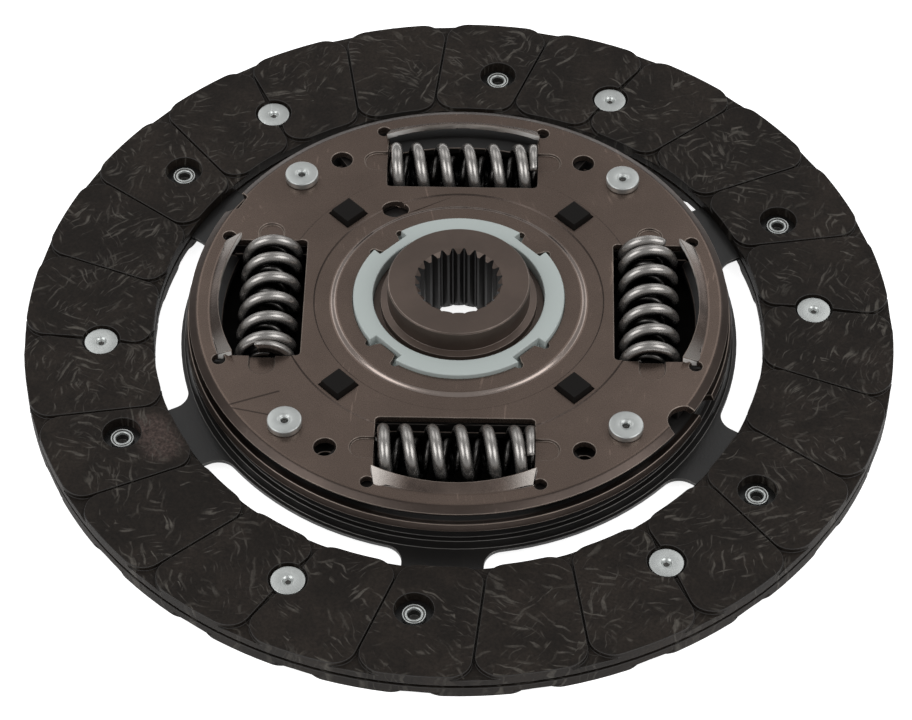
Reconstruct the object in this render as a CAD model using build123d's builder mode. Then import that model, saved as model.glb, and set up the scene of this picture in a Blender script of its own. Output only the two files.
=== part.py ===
from build123d import *
import math
import os

# Clutch disc: two friction facings on a thin carrier, a spring damper between two steel
# plates, and a splined hub that twists against the damper springs. Millimetres, +Z up,
# origin at the centre of the face that the disc lies on. Angles run counter-clockwise.

os.makedirs("parts", exist_ok=True)

# Friction facings
facing_outer_radius = 100.0
facing_width = 29.65
facing_thickness = 3.0
groove_count = 24
groove_width = 1.1
groove_depth = 1.1
groove_offset = 14.8
pad_outer_corner = 5.0
pad_inner_corner = 4.5

# Facing rivets, six from each side, each with its closing end in the other facing's hole
rivet_edge_distance = 17.6
rivets_per_side = 6
front_rivet_angle = 63.1
rear_rivet_angle = 83.1
rivet_head_radius = 3.85
rivet_head_height = 0.9
rivet_head_recess = 0.6
rivet_seat_radius = 4.35
rivet_shank_radius = 2.1
rivet_hole_clearance = 0.05
rivet_bore_radius = 1.2
rivet_bore_depth = 3.0
rivet_flare_radius = 2.6
rivet_flare_height = 1.35
rivet_flare_lip = 0.45
rivet_dimple_radius = 0.8
rivet_dimple_depth = 0.35

# Carrier disc, one thin pressing with six arms
carrier_thickness = 0.9
carrier_edge_distance = 3.0
arm_count = 6
arm_angle = 26.8
arm_width = 18.1
slot_inner_distance = 2.3
slot_reach_under_facing = 4.65
slot_corner = 4.5
carrier_shoulder_distance = 1.4
carrier_ledge_distance = 0.7
carrier_ledge_width = 1.2
carrier_ledge_rise = 1.8
carrier_seat_inset = 1.6
carrier_seat_rise = 4.7
carrier_seat_width = 13.3
carrier_window_margin = 0.4
carrier_window_end_margin = 2.85

# Cover plate and rear plate, sheet steel pressings riveted together by the stop pins
plate_thickness = 1.8
plate_gap = 3.0
plate_facing_distance = 8.45
rim_width = 1.9
rim_turn_in = 1.1
rear_plate_overhang = 0.3
rear_rim_width = 1.6
rear_rim_turn_in = 0.7
coined_zone_inner_radius = 33.0
coined_zone_outer_radius = 41.5
coined_zone_rise = 0.3
coined_zone_edge = 0.3
dish_foot_radius = 29.3
dish_top_radius = 28.3
dish_rise = 0.6
rear_dish_foot_radius = 32.4
rear_dish_top_radius = 28.9
rear_dish_depth = 3.2

# Spring windows with a lip on the outer edge and a sunk tongue at each end
window_count = 4
window_angle = -1.4
window_side_clearance = 0.9
window_end_clearance = 0.15
window_corner = 1.0
lip_edge_distance = 4.9
lip_width = 2.6
lip_rise = 1.25
lip_end_margin = 0.3
lip_relief_radius = 1.5
lip_relief_distance = 1.2
tongue_offset = 0.5
tongue_width = 5.8
tongue_length = 5.45
tongue_depth = 0.6

# Round holes, the oval hole and the rim notches of the plates
tooling_hole_radius = 2.5
tooling_hole_edge_distance = 9.3
tooling_hole_spread = 33.0
oval_hole_place = (-14.7, 28.5)
oval_hole_half_width = 3.1
oval_hole_half_height = 2.35
rim_notch_radius = 4.0
rim_notch_angle = 324.4
rear_rim_notch_radius = 3.2
rear_rim_notch_angle = -27.0
torn_notch_insets = (0.4, 2.4, 2.7, 0.5, -4.8)
torn_notch_angles = (145.6, 146.6, 150.6, 152.1, 149.0)

# Stop pins, which rivet the plates and the carrier together
pin_angle = 43.6
pin_edge_distance = 8.4
pin_spacer_radius = 4.4
pin_shank_radius = 3.0
pin_head_radius = 3.9
pin_head_height = 1.8
pin_head_chamfer = 0.35
pin_dimple_radius = 0.85
pin_dimple_depth = 0.7
pin_hole_clearance = 0.05

# Damper springs, with closed and ground ends
spring_length = 35.2
spring_edge_distance = 18.4
outer_spring_radius = 7.1
outer_spring_wire = 2.8
outer_spring_turns = 6.8
inner_spring_radius = 4.0
inner_spring_wire = 1.5
inner_spring_turns = 11.0
end_coil_turns = 0.75
end_coil_blend = 0.35
end_coil_pitch_share = 0.42
ground_share = 0.4
first_crest_turns = (0.1, 0.7, 0.05, 0.1)
points_per_turn = 12

# Hub flange, which drives the springs and stops against the pins
flange_thickness = 2.3
flange_edge_distance = 3.4
flange_window_clearance = 0.15
twist_limit = 8.0
stop_clearance = 0.35
coarse_tooth_count = 16
coarse_tooth_tip_radius = 20.0
coarse_tooth_width = 3.9
coarse_tooth_clearance = 0.05

# Hub
hub_top_above_cover = 6.55
hub_bottom_height = 2.25
hub_barrel_radius = 16.3
hub_barrel_length = 5.9
hub_collar_radius = 17.9
hub_shoulder_radius = 19.5
hub_shoulder_height = 0.95
hub_rear_collar_bottom = 5.6
hub_edge_chamfer = 0.3
spline_count = 24
spline_major_radius = 10.05
spline_minor_radius = 9.0
spline_space_half_angle = 0.9
spline_land_half_angle = 1.7
spline_lead_in = 0.9

# White guide ring in front of the flange, keyed by the teeth of the cover plate
guide_bore_clearance = 0.1
guide_collar_radius = 24.2
guide_notch_radius = 21.9
guide_notch_half_width = 4.15
guide_flange_radius = 27.0
guide_top_above_dish = 1.05
cover_bore_clearance = 0.1
cover_tooth_radius = 22.2
cover_tooth_root_half_width = 4.0
cover_tooth_tip_half_width = 2.4
cover_relief_radius = 0.9
cover_relief_angle = 9.9

# Black peg ring, locked in square holes of the cover plate
peg_distance = 37.3
peg_side = 6.3
peg_corner = 0.6
peg_height_above_cover = 1.65
peg_draft = 20.0
peg_hole_clearance = 0.15
peg_ring_inner_radius = 34.3
peg_ring_outer_radius = 35.6
peg_ring_thickness = 0.5
peg_lug_reach = 39.9
peg_lug_half_width = 4.5

# Rear friction ring, support washer and diaphragm spring
running_clearance = 0.05
sleeve_bore_clearance = 0.08
sleeve_wall = 1.85
friction_flange_radius = 27.0
friction_flange_thickness = 1.2
washer_thickness = 0.8
washer_outer_radius = 27.5
washer_bore_clearance = 0.2
diaphragm_thickness = 0.7
diaphragm_outer_radius = 27.4
diaphragm_inner_radius = 20.6
rear_bore_clearance = 0.15

# Heights that follow from the sizes above
carrier_bottom = facing_thickness
carrier_top = carrier_bottom + carrier_thickness
facing_front_top = carrier_top + facing_thickness
lining_middle = facing_front_top / 2
rear_plate_bottom = carrier_top + carrier_seat_rise
rear_plate_top = rear_plate_bottom + plate_thickness
cover_bottom = rear_plate_top + plate_gap
cover_top = cover_bottom + plate_thickness
damper_middle = (rear_plate_top + cover_bottom) / 2
flange_bottom = damper_middle - flange_thickness / 2
flange_top = damper_middle + flange_thickness / 2
rear_dish_top = rear_plate_top - rear_dish_depth
rear_dish_bottom = rear_dish_top - plate_thickness
hub_top = cover_top + hub_top_above_cover
hub_collar_top = hub_top - hub_barrel_length

# Radii, distances and angles that follow from the sizes above
facing_inner_radius = facing_outer_radius - facing_width
rivet_distance = facing_outer_radius - rivet_edge_distance
plate_outer_radius = facing_inner_radius - plate_facing_distance
rim_start_radius = plate_outer_radius - rim_width
rear_plate_outer_radius = plate_outer_radius + rear_plate_overhang
rear_rim_start_radius = rear_plate_outer_radius - rear_rim_width
carrier_outer_radius = facing_outer_radius - carrier_edge_distance
carrier_seat_radius = plate_outer_radius - carrier_seat_inset
carrier_inner_radius = carrier_seat_radius - carrier_seat_width
carrier_ledge_radius = plate_outer_radius + carrier_ledge_distance
carrier_shoulder_radius = plate_outer_radius + carrier_shoulder_distance
slot_inner_radius = plate_outer_radius + slot_inner_distance
slot_outer_radius = facing_inner_radius + slot_reach_under_facing
pin_distance = plate_outer_radius - pin_edge_distance
tooling_hole_distance = plate_outer_radius - tooling_hole_edge_distance
flange_outer_radius = plate_outer_radius - flange_edge_distance
spring_axis_distance = plate_outer_radius - spring_edge_distance
window_inner_distance = spring_axis_distance - outer_spring_radius - window_side_clearance
window_half_length = spring_length / 2 + window_end_clearance
window_step = 360 / window_count
carrier_window_half_length = window_half_length + carrier_window_end_margin
lip_bend_radius = plate_outer_radius - lip_edge_distance
lip_edge_radius = lip_bend_radius - lip_width
lip_half_angle = math.degrees(math.asin((window_half_length - lip_end_margin) / lip_edge_radius))
lip_relief_half_length = window_half_length + lip_relief_distance
tongue_distance = spring_axis_distance + tongue_offset
tongue_reach = window_half_length + tongue_length
cover_bore_radius = guide_collar_radius + cover_bore_clearance
guide_bore_radius = hub_shoulder_radius + guide_bore_clearance
sleeve_bore_radius = hub_collar_radius + sleeve_bore_clearance
sleeve_outer_radius = sleeve_bore_radius + sleeve_wall
rear_bore_radius = sleeve_outer_radius + rear_bore_clearance
stop_notch_floor = pin_distance - pin_spacer_radius - stop_clearance
stop_notch_half_angle = twist_limit + math.degrees(
    math.asin((pin_spacer_radius + stop_clearance) / pin_distance)
)


def offset_line(points, distance):
    """The corners of a line that runs beside the given one, on its right, with mitred corners."""
    normals = []
    for (r1, z1), (r2, z2) in zip(points, points[1:]):
        length = math.hypot(r2 - r1, z2 - z1)
        normals.append(((z2 - z1) / length, -(r2 - r1) / length))
    ends = [normals[0]] + normals + [normals[-1]]
    moved = []
    for (r, z), (ar, az), (br, bz) in zip(points, ends, ends[1:]):
        share = distance / (1 + ar * br + az * bz)
        moved.append((r + share * (ar + br), z + share * (az + bz)))
    return moved


def turned(points):
    """A solid turned about the disc's axis, from a closed outline of (radius, height) points."""
    with BuildPart() as body:
        with BuildSketch(Plane.XZ):
            with BuildLine():
                Polyline(*points, close=True)
            make_face()
        revolve(axis=Axis.Z)
    return body.part


def turned_sheet(points, thickness):
    """A round pressing of even thickness, from its upper line of (radius, height) points."""
    return turned(points + offset_line(points, thickness)[::-1])


def facing(back, head_angle, sight_angle):
    """A facing whose flat back lies on a plane, with pads, rivet seats and sight holes."""
    middle_radius = (facing_outer_radius + facing_inner_radius) / 2
    groove_run = 2 * (facing_outer_radius - facing_inner_radius)
    slant = math.degrees(math.asin(groove_offset / rivet_distance))
    base_thickness = facing_thickness - groove_depth
    with BuildPart() as ring:
        seat_depth = rivet_head_recess + rivet_head_height
        with BuildSketch(back):
            Circle(facing_outer_radius)
            Circle(facing_inner_radius, mode=Mode.SUBTRACT)
        extrude(amount=base_thickness)
        with BuildSketch(back.offset(base_thickness)) as pads:
            Circle(facing_outer_radius)
            Circle(facing_inner_radius, mode=Mode.SUBTRACT)
            with PolarLocations(0, groove_count, start_angle=head_angle - slant):
                with Locations((middle_radius, groove_offset)):
                    Rectangle(groove_run, groove_width, mode=Mode.SUBTRACT)
            outer = pads.vertices().filter_by(lambda v: math.hypot(v.X, v.Y) > middle_radius)
            fillet(outer, pad_outer_corner)
            inner = pads.vertices().filter_by(
                lambda v: math.hypot(v.X, v.Y) < facing_inner_radius + groove_width / 2
            )
            fillet(inner, pad_inner_corner)
        extrude(amount=groove_depth)
        with BuildSketch(back.offset(facing_thickness - seat_depth)):
            with PolarLocations(rivet_distance, rivets_per_side, start_angle=head_angle):
                Circle(rivet_seat_radius)
        extrude(amount=seat_depth, mode=Mode.SUBTRACT)
        with BuildSketch(back):
            with PolarLocations(rivet_distance, rivets_per_side, start_angle=head_angle):
                Circle(rivet_shank_radius + rivet_hole_clearance)
            with PolarLocations(rivet_distance, rivets_per_side, start_angle=sight_angle):
                Circle(rivet_seat_radius)
        extrude(amount=facing_thickness, mode=Mode.SUBTRACT)
    return ring.part


def cut_windows(outer_radius, half_length):
    """In a sketch block: the four spring windows, straight inside and round outside."""
    middle = (window_inner_distance + plate_outer_radius) / 2
    with PolarLocations(0, window_count, start_angle=window_angle):
        with Locations((middle, 0)):
            Rectangle(plate_outer_radius - window_inner_distance, 2 * half_length)
    Circle(outer_radius, mode=Mode.INTERSECT)


def plate_cuts(low, high):
    """A cutter for the windows, lip reliefs, tooling holes and pin holes that both plates share."""
    relief_angle = math.degrees(math.asin(lip_relief_half_length / lip_bend_radius))
    with BuildPart() as cutter:
        with BuildSketch(Plane.XY.offset(low)) as cuts:
            cut_windows(lip_bend_radius, window_half_length)
            corners = cuts.vertices().filter_by(
                lambda v: math.hypot(v.X, v.Y) < (window_inner_distance + lip_bend_radius) / 2
            )
            fillet(corners, window_corner)
            for side in (-relief_angle, relief_angle):
                with PolarLocations(lip_bend_radius, window_count, start_angle=window_angle + side):
                    Circle(lip_relief_radius)
            for side in (-tooling_hole_spread, tooling_hole_spread):
                with PolarLocations(tooling_hole_distance, 2, start_angle=window_angle + 90 + side):
                    Circle(tooling_hole_radius)
            with PolarLocations(pin_distance, window_count, start_angle=pin_angle):
                Circle(pin_shank_radius + pin_hole_clearance)
        extrude(amount=high - low)
    return cutter.part


def tongue_cuts():
    """A cutter for the two sunk tongues at the ends of each window of the cover plate."""
    with BuildPart() as cutter:
        with BuildSketch(Plane.XY.offset(cover_top)):
            with PolarLocations(0, window_count, start_angle=window_angle):
                with Locations((tongue_distance, 0)):
                    SlotOverall(2 * tongue_reach, tongue_width, rotation=90)
            with PolarLocations(0, window_count, start_angle=window_angle):
                with Locations((tongue_distance, 0)):
                    Rectangle(2 * tongue_width, 2 * window_half_length, mode=Mode.SUBTRACT)
        extrude(amount=tongue_depth, both=True)
    return cutter.part


def window_lips(side, root_height):
    """The lips on the outer edges of the windows, bent up or down from a plate's inner face."""
    with BuildPart() as lips:
        for index in range(window_count):
            start = window_angle + window_step * index - lip_half_angle
            low = root_height
            high = root_height + side * plate_thickness
            with BuildSketch(Plane.XZ.rotated((0, 0, start))):
                with BuildLine():
                    Polyline(
                        (lip_bend_radius, low),
                        (lip_bend_radius, high),
                        (lip_edge_radius, high + side * lip_rise),
                        (lip_edge_radius, low + side * lip_rise),
                        close=True,
                    )
                make_face()
            revolve(axis=Axis.Z, revolution_arc=2 * lip_half_angle)
    return lips.part


# Friction facings, the same moulding on both sides, the rear one turned over
with BuildPart() as facing_front:
    add(facing(Plane.XY.offset(carrier_top), front_rivet_angle, rear_rivet_angle))
facing_front.part.label = "facing_front"
export_step(facing_front.part, "parts/facing_front.step")

rear_back = Plane(origin=(0, 0, carrier_bottom), x_dir=(1, 0, 0), z_dir=(0, 0, -1))
with BuildPart() as facing_rear:
    add(facing(rear_back, -rear_rivet_angle, -front_rivet_angle))
facing_rear.part.label = "facing_rear"
export_step(facing_rear.part, "parts/facing_rear.step")

# Facing rivet, with its origin in the middle of the carrier and its head up
head_top = facing_front_top - rivet_head_recess - lining_middle
head_bottom = head_top - rivet_head_height
closing_face = -carrier_thickness / 2
closing_end = closing_face - rivet_flare_height
with BuildPart() as facing_rivet:
    add(
        turned(
            [
                (0, head_top - rivet_dimple_depth),
                (rivet_dimple_radius, head_top),
                (rivet_head_radius, head_top),
                (rivet_head_radius, head_bottom),
                (rivet_shank_radius, head_bottom),
                (rivet_shank_radius, closing_face),
                (rivet_flare_radius, closing_face),
                (rivet_flare_radius, closing_end + rivet_flare_lip),
                (rivet_flare_radius - rivet_flare_lip, closing_end),
                (rivet_bore_radius, closing_end),
                (rivet_bore_radius, closing_end + rivet_bore_depth),
                (0, closing_end + rivet_bore_depth),
            ]
        )
    )

with BuildPart() as facing_rivets_front:
    with Locations((0, 0, lining_middle)):
        with PolarLocations(rivet_distance, rivets_per_side, start_angle=front_rivet_angle):
            add(facing_rivet.part)
facing_rivets_front.part.label = "facing_rivets_front"
export_step(facing_rivets_front.part, "parts/facing_rivets_front.step")

with BuildPart() as facing_rivets_rear:
    with Locations((0, 0, lining_middle)):
        with PolarLocations(rivet_distance, rivets_per_side, start_angle=rear_rivet_angle):
            add(facing_rivet.part, rotation=(180, 0, 0))
facing_rivets_rear.part.label = "facing_rivets_rear"
export_step(facing_rivets_rear.part, "parts/facing_rivets_rear.step")

# Carrier disc: flat under the facings, then a ledge and a raised seat for the rear plate
ledge_top = carrier_top + carrier_ledge_rise
with BuildPart() as carrier_disc:
    add(
        turned_sheet(
            [
                (carrier_inner_radius, rear_plate_bottom),
                (carrier_seat_radius, rear_plate_bottom),
                (carrier_ledge_radius - carrier_ledge_width, ledge_top),
                (carrier_ledge_radius, ledge_top),
                (carrier_shoulder_radius, carrier_top),
                (carrier_outer_radius, carrier_top),
            ],
            carrier_thickness,
        )
    )
    with BuildSketch(Plane.XY.offset(carrier_bottom)) as slots:
        Circle(slot_outer_radius)
        Circle(slot_inner_radius, mode=Mode.SUBTRACT)
        with PolarLocations((slot_inner_radius + slot_outer_radius) / 2, arm_count, start_angle=arm_angle):
            Rectangle(2 * (slot_outer_radius - slot_inner_radius), arm_width, mode=Mode.SUBTRACT)
        fillet(slots.vertices(), slot_corner)
        for angle in (front_rivet_angle, rear_rivet_angle):
            with PolarLocations(rivet_distance, rivets_per_side, start_angle=angle):
                Circle(rivet_shank_radius + rivet_hole_clearance)
    extrude(amount=carrier_thickness, mode=Mode.SUBTRACT)
    with BuildSketch(Plane.XY.offset(rear_plate_bottom)):
        cut_windows(lip_bend_radius + carrier_window_margin, carrier_window_half_length)
        with PolarLocations(pin_distance, window_count, start_angle=pin_angle):
            Circle(pin_shank_radius + pin_hole_clearance)
    extrude(amount=-carrier_thickness, mode=Mode.SUBTRACT)
carrier_disc.part.label = "carrier_disc"
export_step(carrier_disc.part, "parts/carrier_disc.step")

# Cover plate, with a coined zone round the pegs, a raised centre and a rim turned in
dish_top = cover_top + dish_rise
with BuildPart() as cover_plate:
    add(
        turned_sheet(
            [
                (cover_tooth_radius, dish_top),
                (dish_top_radius, dish_top),
                (dish_foot_radius, cover_top),
                (coined_zone_inner_radius, cover_top),
                (coined_zone_inner_radius + coined_zone_edge, cover_top + coined_zone_rise),
                (coined_zone_outer_radius - coined_zone_edge, cover_top + coined_zone_rise),
                (coined_zone_outer_radius, cover_top),
                (rim_start_radius, cover_top),
                (plate_outer_radius, cover_top - rim_turn_in),
            ],
            plate_thickness,
        )
    )
    add(plate_cuts(cover_bottom - rim_turn_in, dish_top), mode=Mode.SUBTRACT)
    add(window_lips(1, cover_bottom))
    with BuildSketch(Plane.XY.offset(cover_bottom)):
        Circle(cover_bore_radius)
        with PolarLocations(0, window_count, start_angle=pin_angle):
            Polygon(
                (cover_bore_radius + cover_relief_radius, -cover_tooth_root_half_width),
                (cover_bore_radius + cover_relief_radius, cover_tooth_root_half_width),
                (cover_tooth_radius, cover_tooth_tip_half_width),
                (cover_tooth_radius, -cover_tooth_tip_half_width),
                align=None,
                mode=Mode.SUBTRACT,
            )
        for side in (-cover_relief_angle, cover_relief_angle):
            with PolarLocations(cover_bore_radius, window_count, start_angle=pin_angle + side):
                Circle(cover_relief_radius)
        with PolarLocations(peg_distance, window_count, start_angle=pin_angle):
            Rectangle(peg_side + 2 * peg_hole_clearance, peg_side + 2 * peg_hole_clearance)
        with Locations(oval_hole_place):
            Ellipse(oval_hole_half_width, oval_hole_half_height)
    extrude(amount=dish_top - cover_bottom, mode=Mode.SUBTRACT)
    with BuildSketch(Plane.XY.offset(cover_bottom - rim_turn_in)):
        with PolarLocations(plate_outer_radius, 1, start_angle=rim_notch_angle):
            Circle(rim_notch_radius)
        torn_corners = []
        for inset, angle in zip(torn_notch_insets, torn_notch_angles):
            reach = plate_outer_radius - inset
            turn = math.radians(angle)
            torn_corners.append((reach * math.cos(turn), reach * math.sin(turn)))
        Polygon(*torn_corners, align=None)
    extrude(amount=plate_thickness + rim_turn_in, mode=Mode.SUBTRACT)
    add(tongue_cuts(), mode=Mode.SUBTRACT)
cover_plate.part.label = "cover_plate"
export_step(cover_plate.part, "parts/cover_plate.step")

# Rear plate, with the same windows, a deep dish for the friction stack and a rim turned in
with BuildPart() as rear_plate:
    add(
        turned_sheet(
            [
                (rear_bore_radius, rear_dish_top),
                (rear_dish_top_radius, rear_dish_top),
                (rear_dish_foot_radius, rear_plate_top),
                (rear_rim_start_radius, rear_plate_top),
                (rear_plate_outer_radius, rear_plate_top + rear_rim_turn_in),
            ],
            plate_thickness,
        )
    )
    add(plate_cuts(rear_plate_bottom, rear_plate_top + rear_rim_turn_in), mode=Mode.SUBTRACT)
    add(window_lips(-1, rear_plate_top))
    with BuildSketch(Plane.XY.offset(rear_plate_bottom)):
        with PolarLocations(rear_plate_outer_radius, 1, start_angle=rear_rim_notch_angle):
            Circle(rear_rim_notch_radius)
    extrude(amount=plate_thickness + rear_rim_turn_in, mode=Mode.SUBTRACT)
rear_plate.part.label = "rear_plate"
export_step(rear_plate.part, "parts/rear_plate.step")

# Stop pins: a spacer between the plates, a shank through each side and two closed heads
pin_low = rear_plate_bottom - carrier_thickness
pin_outline = [
    (0, pin_low - pin_head_height),
    (pin_head_radius - pin_head_chamfer, pin_low - pin_head_height),
    (pin_head_radius, pin_low - pin_head_height + pin_head_chamfer),
    (pin_head_radius, pin_low),
    (pin_shank_radius, pin_low),
    (pin_shank_radius, rear_plate_top),
    (pin_spacer_radius, rear_plate_top),
    (pin_spacer_radius, cover_bottom),
    (pin_shank_radius, cover_bottom),
    (pin_shank_radius, cover_top),
    (pin_head_radius, cover_top),
    (pin_head_radius, cover_top + pin_head_height - pin_head_chamfer),
    (pin_head_radius - pin_head_chamfer, cover_top + pin_head_height),
    (pin_dimple_radius, cover_top + pin_head_height),
    (pin_dimple_radius, cover_top + pin_head_height - pin_dimple_depth),
    (0, cover_top + pin_head_height - pin_dimple_depth),
]
with BuildPart() as pin_blank:
    add(turned(pin_outline))

for index in range(window_count):
    with BuildPart() as stop_pin:
        with PolarLocations(pin_distance, 1, start_angle=pin_angle + window_step * index):
            add(pin_blank.part)
    stop_pin.part.label = f"stop_pin_{index + 1}"
    export_step(stop_pin.part, f"parts/stop_pin_{index + 1}.step")


def coarse_teeth(clearance):
    """In a sketch block: the toothed seat of the flange on the hub, widened by a clearance."""
    Circle(hub_collar_radius + clearance)
    tooth_reach = coarse_tooth_tip_radius + clearance
    with PolarLocations(tooth_reach / 2, coarse_tooth_count):
        Rectangle(tooth_reach, coarse_tooth_width + 2 * clearance)


# Hub: a turned body with a fine spline inside and coarse teeth for the flange outside
with BuildPart() as hub:
    add(
        turned(
            [
                (spline_minor_radius, hub_bottom_height + spline_lead_in),
                (spline_minor_radius + spline_lead_in, hub_bottom_height),
                (hub_barrel_radius - hub_edge_chamfer, hub_bottom_height),
                (hub_barrel_radius, hub_bottom_height + hub_edge_chamfer),
                (hub_barrel_radius, hub_rear_collar_bottom),
                (hub_collar_radius, hub_rear_collar_bottom),
                (hub_collar_radius, flange_top),
                (hub_shoulder_radius, flange_top),
                (hub_shoulder_radius, flange_top + hub_shoulder_height),
                (hub_collar_radius, flange_top + hub_shoulder_height),
                (hub_collar_radius, hub_collar_top),
                (hub_barrel_radius, hub_collar_top + hub_edge_chamfer),
                (hub_barrel_radius, hub_top - hub_edge_chamfer),
                (hub_barrel_radius - hub_edge_chamfer, hub_top),
                (spline_minor_radius + spline_lead_in, hub_top),
                (spline_minor_radius, hub_top - spline_lead_in),
            ]
        )
    )
    with BuildSketch(Plane.XY.offset(flange_bottom)):
        coarse_teeth(0)
        Circle(spline_major_radius, mode=Mode.SUBTRACT)
    extrude(amount=flange_thickness)
    spline_pitch = 360 / spline_count
    spline_points = []
    for tooth in range(spline_count):
        middle = (tooth + 0.5) * spline_pitch
        for radius, angle in (
            (spline_minor_radius, middle - spline_pitch / 2 + spline_land_half_angle),
            (spline_major_radius, middle - spline_space_half_angle),
            (spline_major_radius, middle + spline_space_half_angle),
            (spline_minor_radius, middle + spline_pitch / 2 - spline_land_half_angle),
        ):
            turn = math.radians(angle)
            spline_points.append((radius * math.cos(turn), radius * math.sin(turn)))
    with BuildSketch(Plane.XY.offset(hub_bottom_height)):
        with BuildLine():
            Polyline(*spline_points, close=True)
        make_face()
    extrude(amount=hub_top - hub_bottom_height, mode=Mode.SUBTRACT)
hub.part.label = "hub"
export_step(hub.part, "parts/hub.step")

# Hub flange: a four-armed star, open at the springs and notched for the stop pins
with BuildPart() as hub_flange:
    with BuildSketch(Plane.XY.offset(flange_bottom)):
        Circle(flange_outer_radius)
        with PolarLocations(0, window_count, start_angle=window_angle):
            with Locations((window_inner_distance + flange_outer_radius / 2, 0)):
                Rectangle(
                    flange_outer_radius,
                    2 * (window_half_length + flange_window_clearance),
                    mode=Mode.SUBTRACT,
                )
    extrude(amount=flange_thickness)
    with BuildSketch(Plane.XY.offset(flange_bottom)):
        notch_reach = 2 * flange_outer_radius
        notch_half_width = notch_reach * math.tan(math.radians(stop_notch_half_angle))
        with PolarLocations(0, window_count, start_angle=pin_angle):
            Polygon((0, 0), (notch_reach, -notch_half_width), (notch_reach, notch_half_width), align=None)
        Circle(stop_notch_floor, mode=Mode.SUBTRACT)
    extrude(amount=flange_thickness, mode=Mode.SUBTRACT)
    with BuildSketch(Plane.XY.offset(flange_bottom)):
        coarse_teeth(coarse_tooth_clearance)
    extrude(amount=flange_thickness, mode=Mode.SUBTRACT)
hub_flange.part.label = "hub_flange"
export_step(hub_flange.part, "parts/hub_flange.step")


def coil_travel(turn, turns):
    """How far a coil has risen after some turns, in working pitches. The pitch is a small
    share at the end coils and grows in a straight line to the working pitch between them."""
    if turn > turns / 2:
        return 2 * coil_travel(turns / 2, turns) - coil_travel(turns - turn, turns)
    in_blend = min(max(turn - end_coil_turns, 0), end_coil_blend)
    past_blend = max(turn - end_coil_turns - end_coil_blend, 0)
    growth = (1 - end_coil_pitch_share) * (in_blend**2 / (2 * end_coil_blend) + past_blend)
    return end_coil_pitch_share * turn + growth


def coil(outer_radius, wire, turns, hand):
    """A coil spring with closed, ground ends, standing on its own XY plane. The hand is 1 for
    a right-hand coil and -1 for a left-hand one, and the first turn starts on the X axis."""
    mean_radius = outer_radius - wire / 2
    start_height = (0.5 - ground_share) * wire
    rise = spring_length - 2 * start_height
    whole_travel = 2 * coil_travel(turns / 2, turns)
    point_count = round(turns * points_per_turn)
    points = []
    for number in range(point_count + 1):
        turn = turns * number / point_count
        angle = hand * 2 * math.pi * turn
        height = start_height + rise * coil_travel(turn, turns) / whole_travel
        points.append((mean_radius * math.cos(angle), mean_radius * math.sin(angle), height))
    with BuildPart() as spring_body:
        with BuildLine() as path:
            Spline(*points)
        with BuildSketch(Plane(origin=path.line @ 0, z_dir=path.line % 0)):
            Circle(wire / 2)
        sweep(is_frenet=True)
        split(bisect_by=Plane.XY, keep=Keep.TOP)
        split(bisect_by=Plane.XY.offset(spring_length), keep=Keep.BOTTOM)
    return spring_body.part


spring_sizes = {
    "spring_outer": (outer_spring_radius, outer_spring_wire, outer_spring_turns, 1),
    "spring_inner": (inner_spring_radius, inner_spring_wire, inner_spring_turns, -1),
}
for spring_name, (outer_radius, wire, turns, hand) in spring_sizes.items():
    spring_blank = coil(outer_radius, wire, turns, hand)
    for index in range(window_count):
        seat = Plane.XY.offset(damper_middle).rotated((0, 0, window_angle + window_step * index))
        axis_start = seat.from_local_coords((spring_axis_distance, spring_length / 2, 0))
        along = Plane(origin=axis_start, x_dir=(0, 0, 1), z_dir=-seat.y_dir)
        with BuildPart() as spring:
            with Locations(along):
                add(spring_blank, rotation=(0, 0, -360 * hand * first_crest_turns[index]))
        spring.part.label = f"{spring_name}_{index + 1}"
        export_step(spring.part, f"parts/{spring_name}_{index + 1}.step")

# White guide ring: a friction flange under the raised centre and a collar keyed to the teeth
guide_bottom = flange_top + running_clearance
guide_step = cover_bottom + dish_rise
guide_top = dish_top + guide_top_above_dish
with BuildPart() as guide_ring_front:
    with BuildSketch(Plane.XY.offset(guide_bottom)):
        Circle(guide_flange_radius)
        Circle(guide_bore_radius, mode=Mode.SUBTRACT)
    extrude(amount=guide_step - guide_bottom)
    with BuildSketch(Plane.XY.offset(guide_step)):
        Circle(guide_collar_radius)
        Circle(guide_bore_radius, mode=Mode.SUBTRACT)
        notch_middle = guide_notch_radius + guide_collar_radius / 2
        with PolarLocations(notch_middle, window_count, start_angle=pin_angle):
            Rectangle(guide_collar_radius, 2 * guide_notch_half_width, mode=Mode.SUBTRACT)
    extrude(amount=guide_top - guide_step)
guide_ring_front.part.label = "guide_ring_front"
export_step(guide_ring_front.part, "parts/guide_ring_front.step")

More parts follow.
